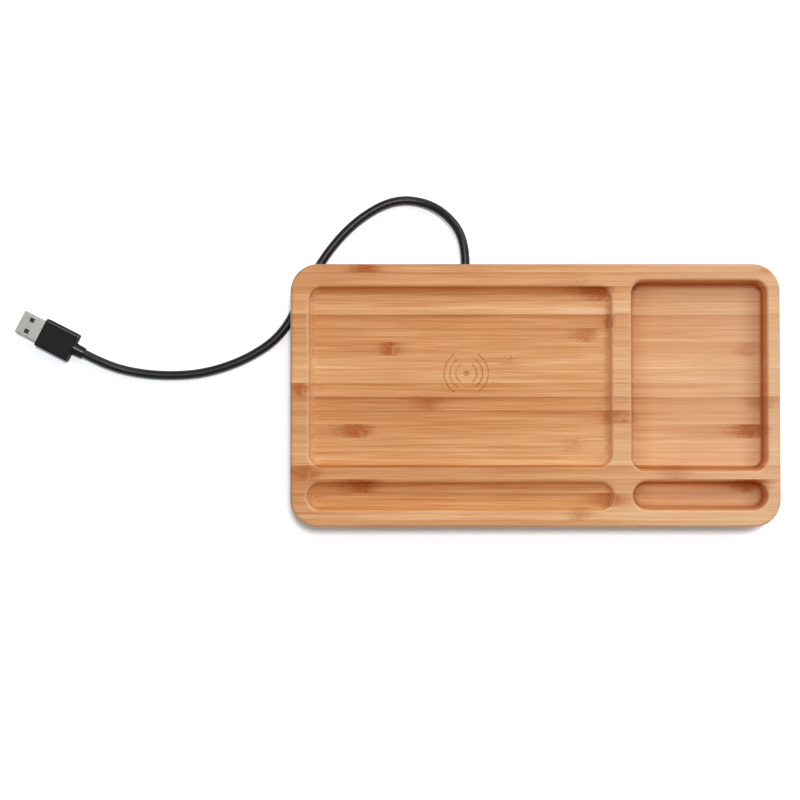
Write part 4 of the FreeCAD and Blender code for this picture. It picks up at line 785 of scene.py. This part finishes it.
def carve(name, node, cutter, finish, sharp):
    """A copy of a CAD node with a cutter's shape taken out of it. It stands for the node.

    Edges that turn by more than the sharp angle, in degrees, stay sharp."""
    copy = nodes[node].data.copy()
    shell = bmesh.new()
    shell.from_mesh(copy)
    bmesh.ops.remove_doubles(shell, verts=shell.verts, dist=WELD_DISTANCE * MM)
    bmesh.ops.recalc_face_normals(shell, faces=shell.faces)
    shell.to_mesh(copy)
    shell.free()
    blank = bpy.data.objects.new("blank", copy)
    tool = bpy.data.objects.new("tool", mesh_of("tool", *cutter))
    for thing in (blank, tool):
        bpy.context.scene.collection.objects.link(thing)
    cut = blank.modifiers.new("cut", "BOOLEAN")
    cut.operation = "DIFFERENCE"
    cut.solver = "EXACT"
    cut.object = tool
    bpy.context.view_layer.update()
    mesh = bpy.data.meshes.new_from_object(blank.evaluated_get(bpy.context.evaluated_depsgraph_get()))
    mesh.name = name
    for thing in (blank, tool):
        bpy.data.objects.remove(thing)
    mesh.polygons.foreach_set("use_smooth", np.ones(len(mesh.polygons), bool))
    mesh.set_sharp_from_angle(angle=math.radians(sharp))
    piece = new_piece(name, mesh, finish)
    even = piece.modifiers.new("even_shading", "WEIGHTED_NORMAL")
    even.keep_sharp = True
    even.weight = 100
    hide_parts(node)


def corner_places(node, inset):
    """The four places that lie inside the corners of a node's box, in mm."""
    low, high = (np.array(corner[:2]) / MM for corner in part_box(node))
    return [(x, y) for x in (low[0] + inset, high[0] - inset) for y in (low[1] + inset, high[1] - inset)]


make_lead()
carve("tray_board", "tray_body", mark_cutter(), "bamboo", sharp=50)
carve("cover_screw_set", "cover_screws",
      cross_cutter(corner_places("cover_screws", inset=2.7), arm=3.2, width=0.85, depth=1.1, level=6.0),
      "steel", sharp=40)
carve("foot_screw_set", "foot_screws",
      cross_cutter(corner_places("foot_screws", inset=3.0), arm=3.6, width=0.95, depth=1.2, level=0.8),
      "steel", sharp=40)

# White sweep: camera, gloss and glass see it a little brighter than it is lit, near the object it keeps the shadow,
# further out it is plain white, and from below it is clear
floor_mesh = bpy.data.meshes.new("floor")
floor_mesh.from_pydata([(-FLOOR_HALF, -FLOOR_HALF, 0), (FLOOR_HALF, -FLOOR_HALF, 0), (FLOOR_HALF, FLOOR_HALF, 0),
                        (-FLOOR_HALF, FLOOR_HALF, 0)], [], [(0, 1, 2, 3)])
floor = bpy.data.objects.new("floor", floor_mesh)
bpy.context.scene.collection.objects.link(floor)
paper = bpy.data.materials.new("studio_paper_white")
paper.use_nodes = True
tree = paper.node_tree
tree.nodes.clear()
lit = add(tree, "BsdfDiffuse", {"Color": PAPER_LIT})
lifted = add(tree, "BsdfDiffuse", {"Color": PAPER_SEEN})
white = add(tree, "Emission", {"Color": WHITE, "Strength": 1.0})
path = add(tree, "LightPath")
seen = add(tree, "Math", {0: path.outputs["Is Camera Ray"], 1: path.outputs["Is Glossy Ray"]}, operation="MAXIMUM")
seen = add(tree, "Math", {0: seen.outputs[0], 1: path.outputs["Is Transmission Ray"]}, operation="MAXIMUM")
ground = add(tree, "TexCoord")
away = add(tree, "VectorMath", {0: ground.outputs["Object"], 1: SHADOW_MIDDLE}, operation="DISTANCE")
far = add(tree, "MapRange", {0: away.outputs["Value"], (1, 2): SHADOW_FADE}, interpolation_type="SMOOTHSTEP")
shown = add(tree, "MixShader", {0: far.outputs[0], 1: lifted.outputs[0], 2: white.outputs[0]})
chosen = add(tree, "MixShader", {0: seen.outputs[0], 1: lit.outputs[0], 2: shown.outputs[0]})
clear = add(tree, "BsdfTransparent")
side = add(tree, "NewGeometry")
above = add(tree, "MixShader", {0: side.outputs["Backfacing"], 1: chosen.outputs[0], 2: clear.outputs[0]})
add(tree, "OutputMaterial", {"Surface": above.outputs[0]})
floor_mesh.materials.append(paper)

scene = bpy.context.scene
scene.view_settings.view_transform = "Standard"
world = bpy.data.worlds.new("studio")
scene.world = world
world.use_nodes = True
tree = world.node_tree
tree.nodes.clear()
path = add(tree, "LightPath")
ambient = add(tree, "Background", {"Color": WHITE, "Strength": AMBIENT_STRENGTH})
bright = add(tree, "Background", {"Color": WHITE, "Strength": 1.0})
chosen = add(tree, "MixShader", {0: path.outputs["Is Camera Ray"], 1: ambient.outputs[0], 2: bright.outputs[0]})
add(tree, "OutputWorld", {"Surface": chosen.outputs[0]})

for name, (place, aim, size, power) in SOFTBOXES.items():
    light = bpy.data.lights.new(name, "AREA")
    light.size = size
    light.energy = power
    lamp = bpy.data.objects.new(name, light)
    scene.collection.objects.link(lamp)
    ahead = np.array(aim) - np.array(place)
    lamp.location = place
    tilt = math.atan2(np.hypot(ahead[0], ahead[1]), -ahead[2])
    lamp.rotation_euler = (tilt, 0, math.atan2(ahead[1], ahead[0]) - math.pi / 2)

camera_data = bpy.data.cameras.new("camera")
camera_data.sensor_width = CAMERA_SENSOR
camera_data.lens = CAMERA_LENS
camera = bpy.data.objects.new("camera", camera_data)
scene.collection.objects.link(camera)
camera.location = [MM * value for value in (
    CAMERA_AIM[0], CAMERA_AIM[1] - CAMERA_DISTANCE * math.sin(CAMERA_TILT),
    CAMERA_AIM[2] + CAMERA_DISTANCE * math.cos(CAMERA_TILT))]
camera.rotation_euler = (CAMERA_TILT, 0.0, 0.0)
scene.camera = camera
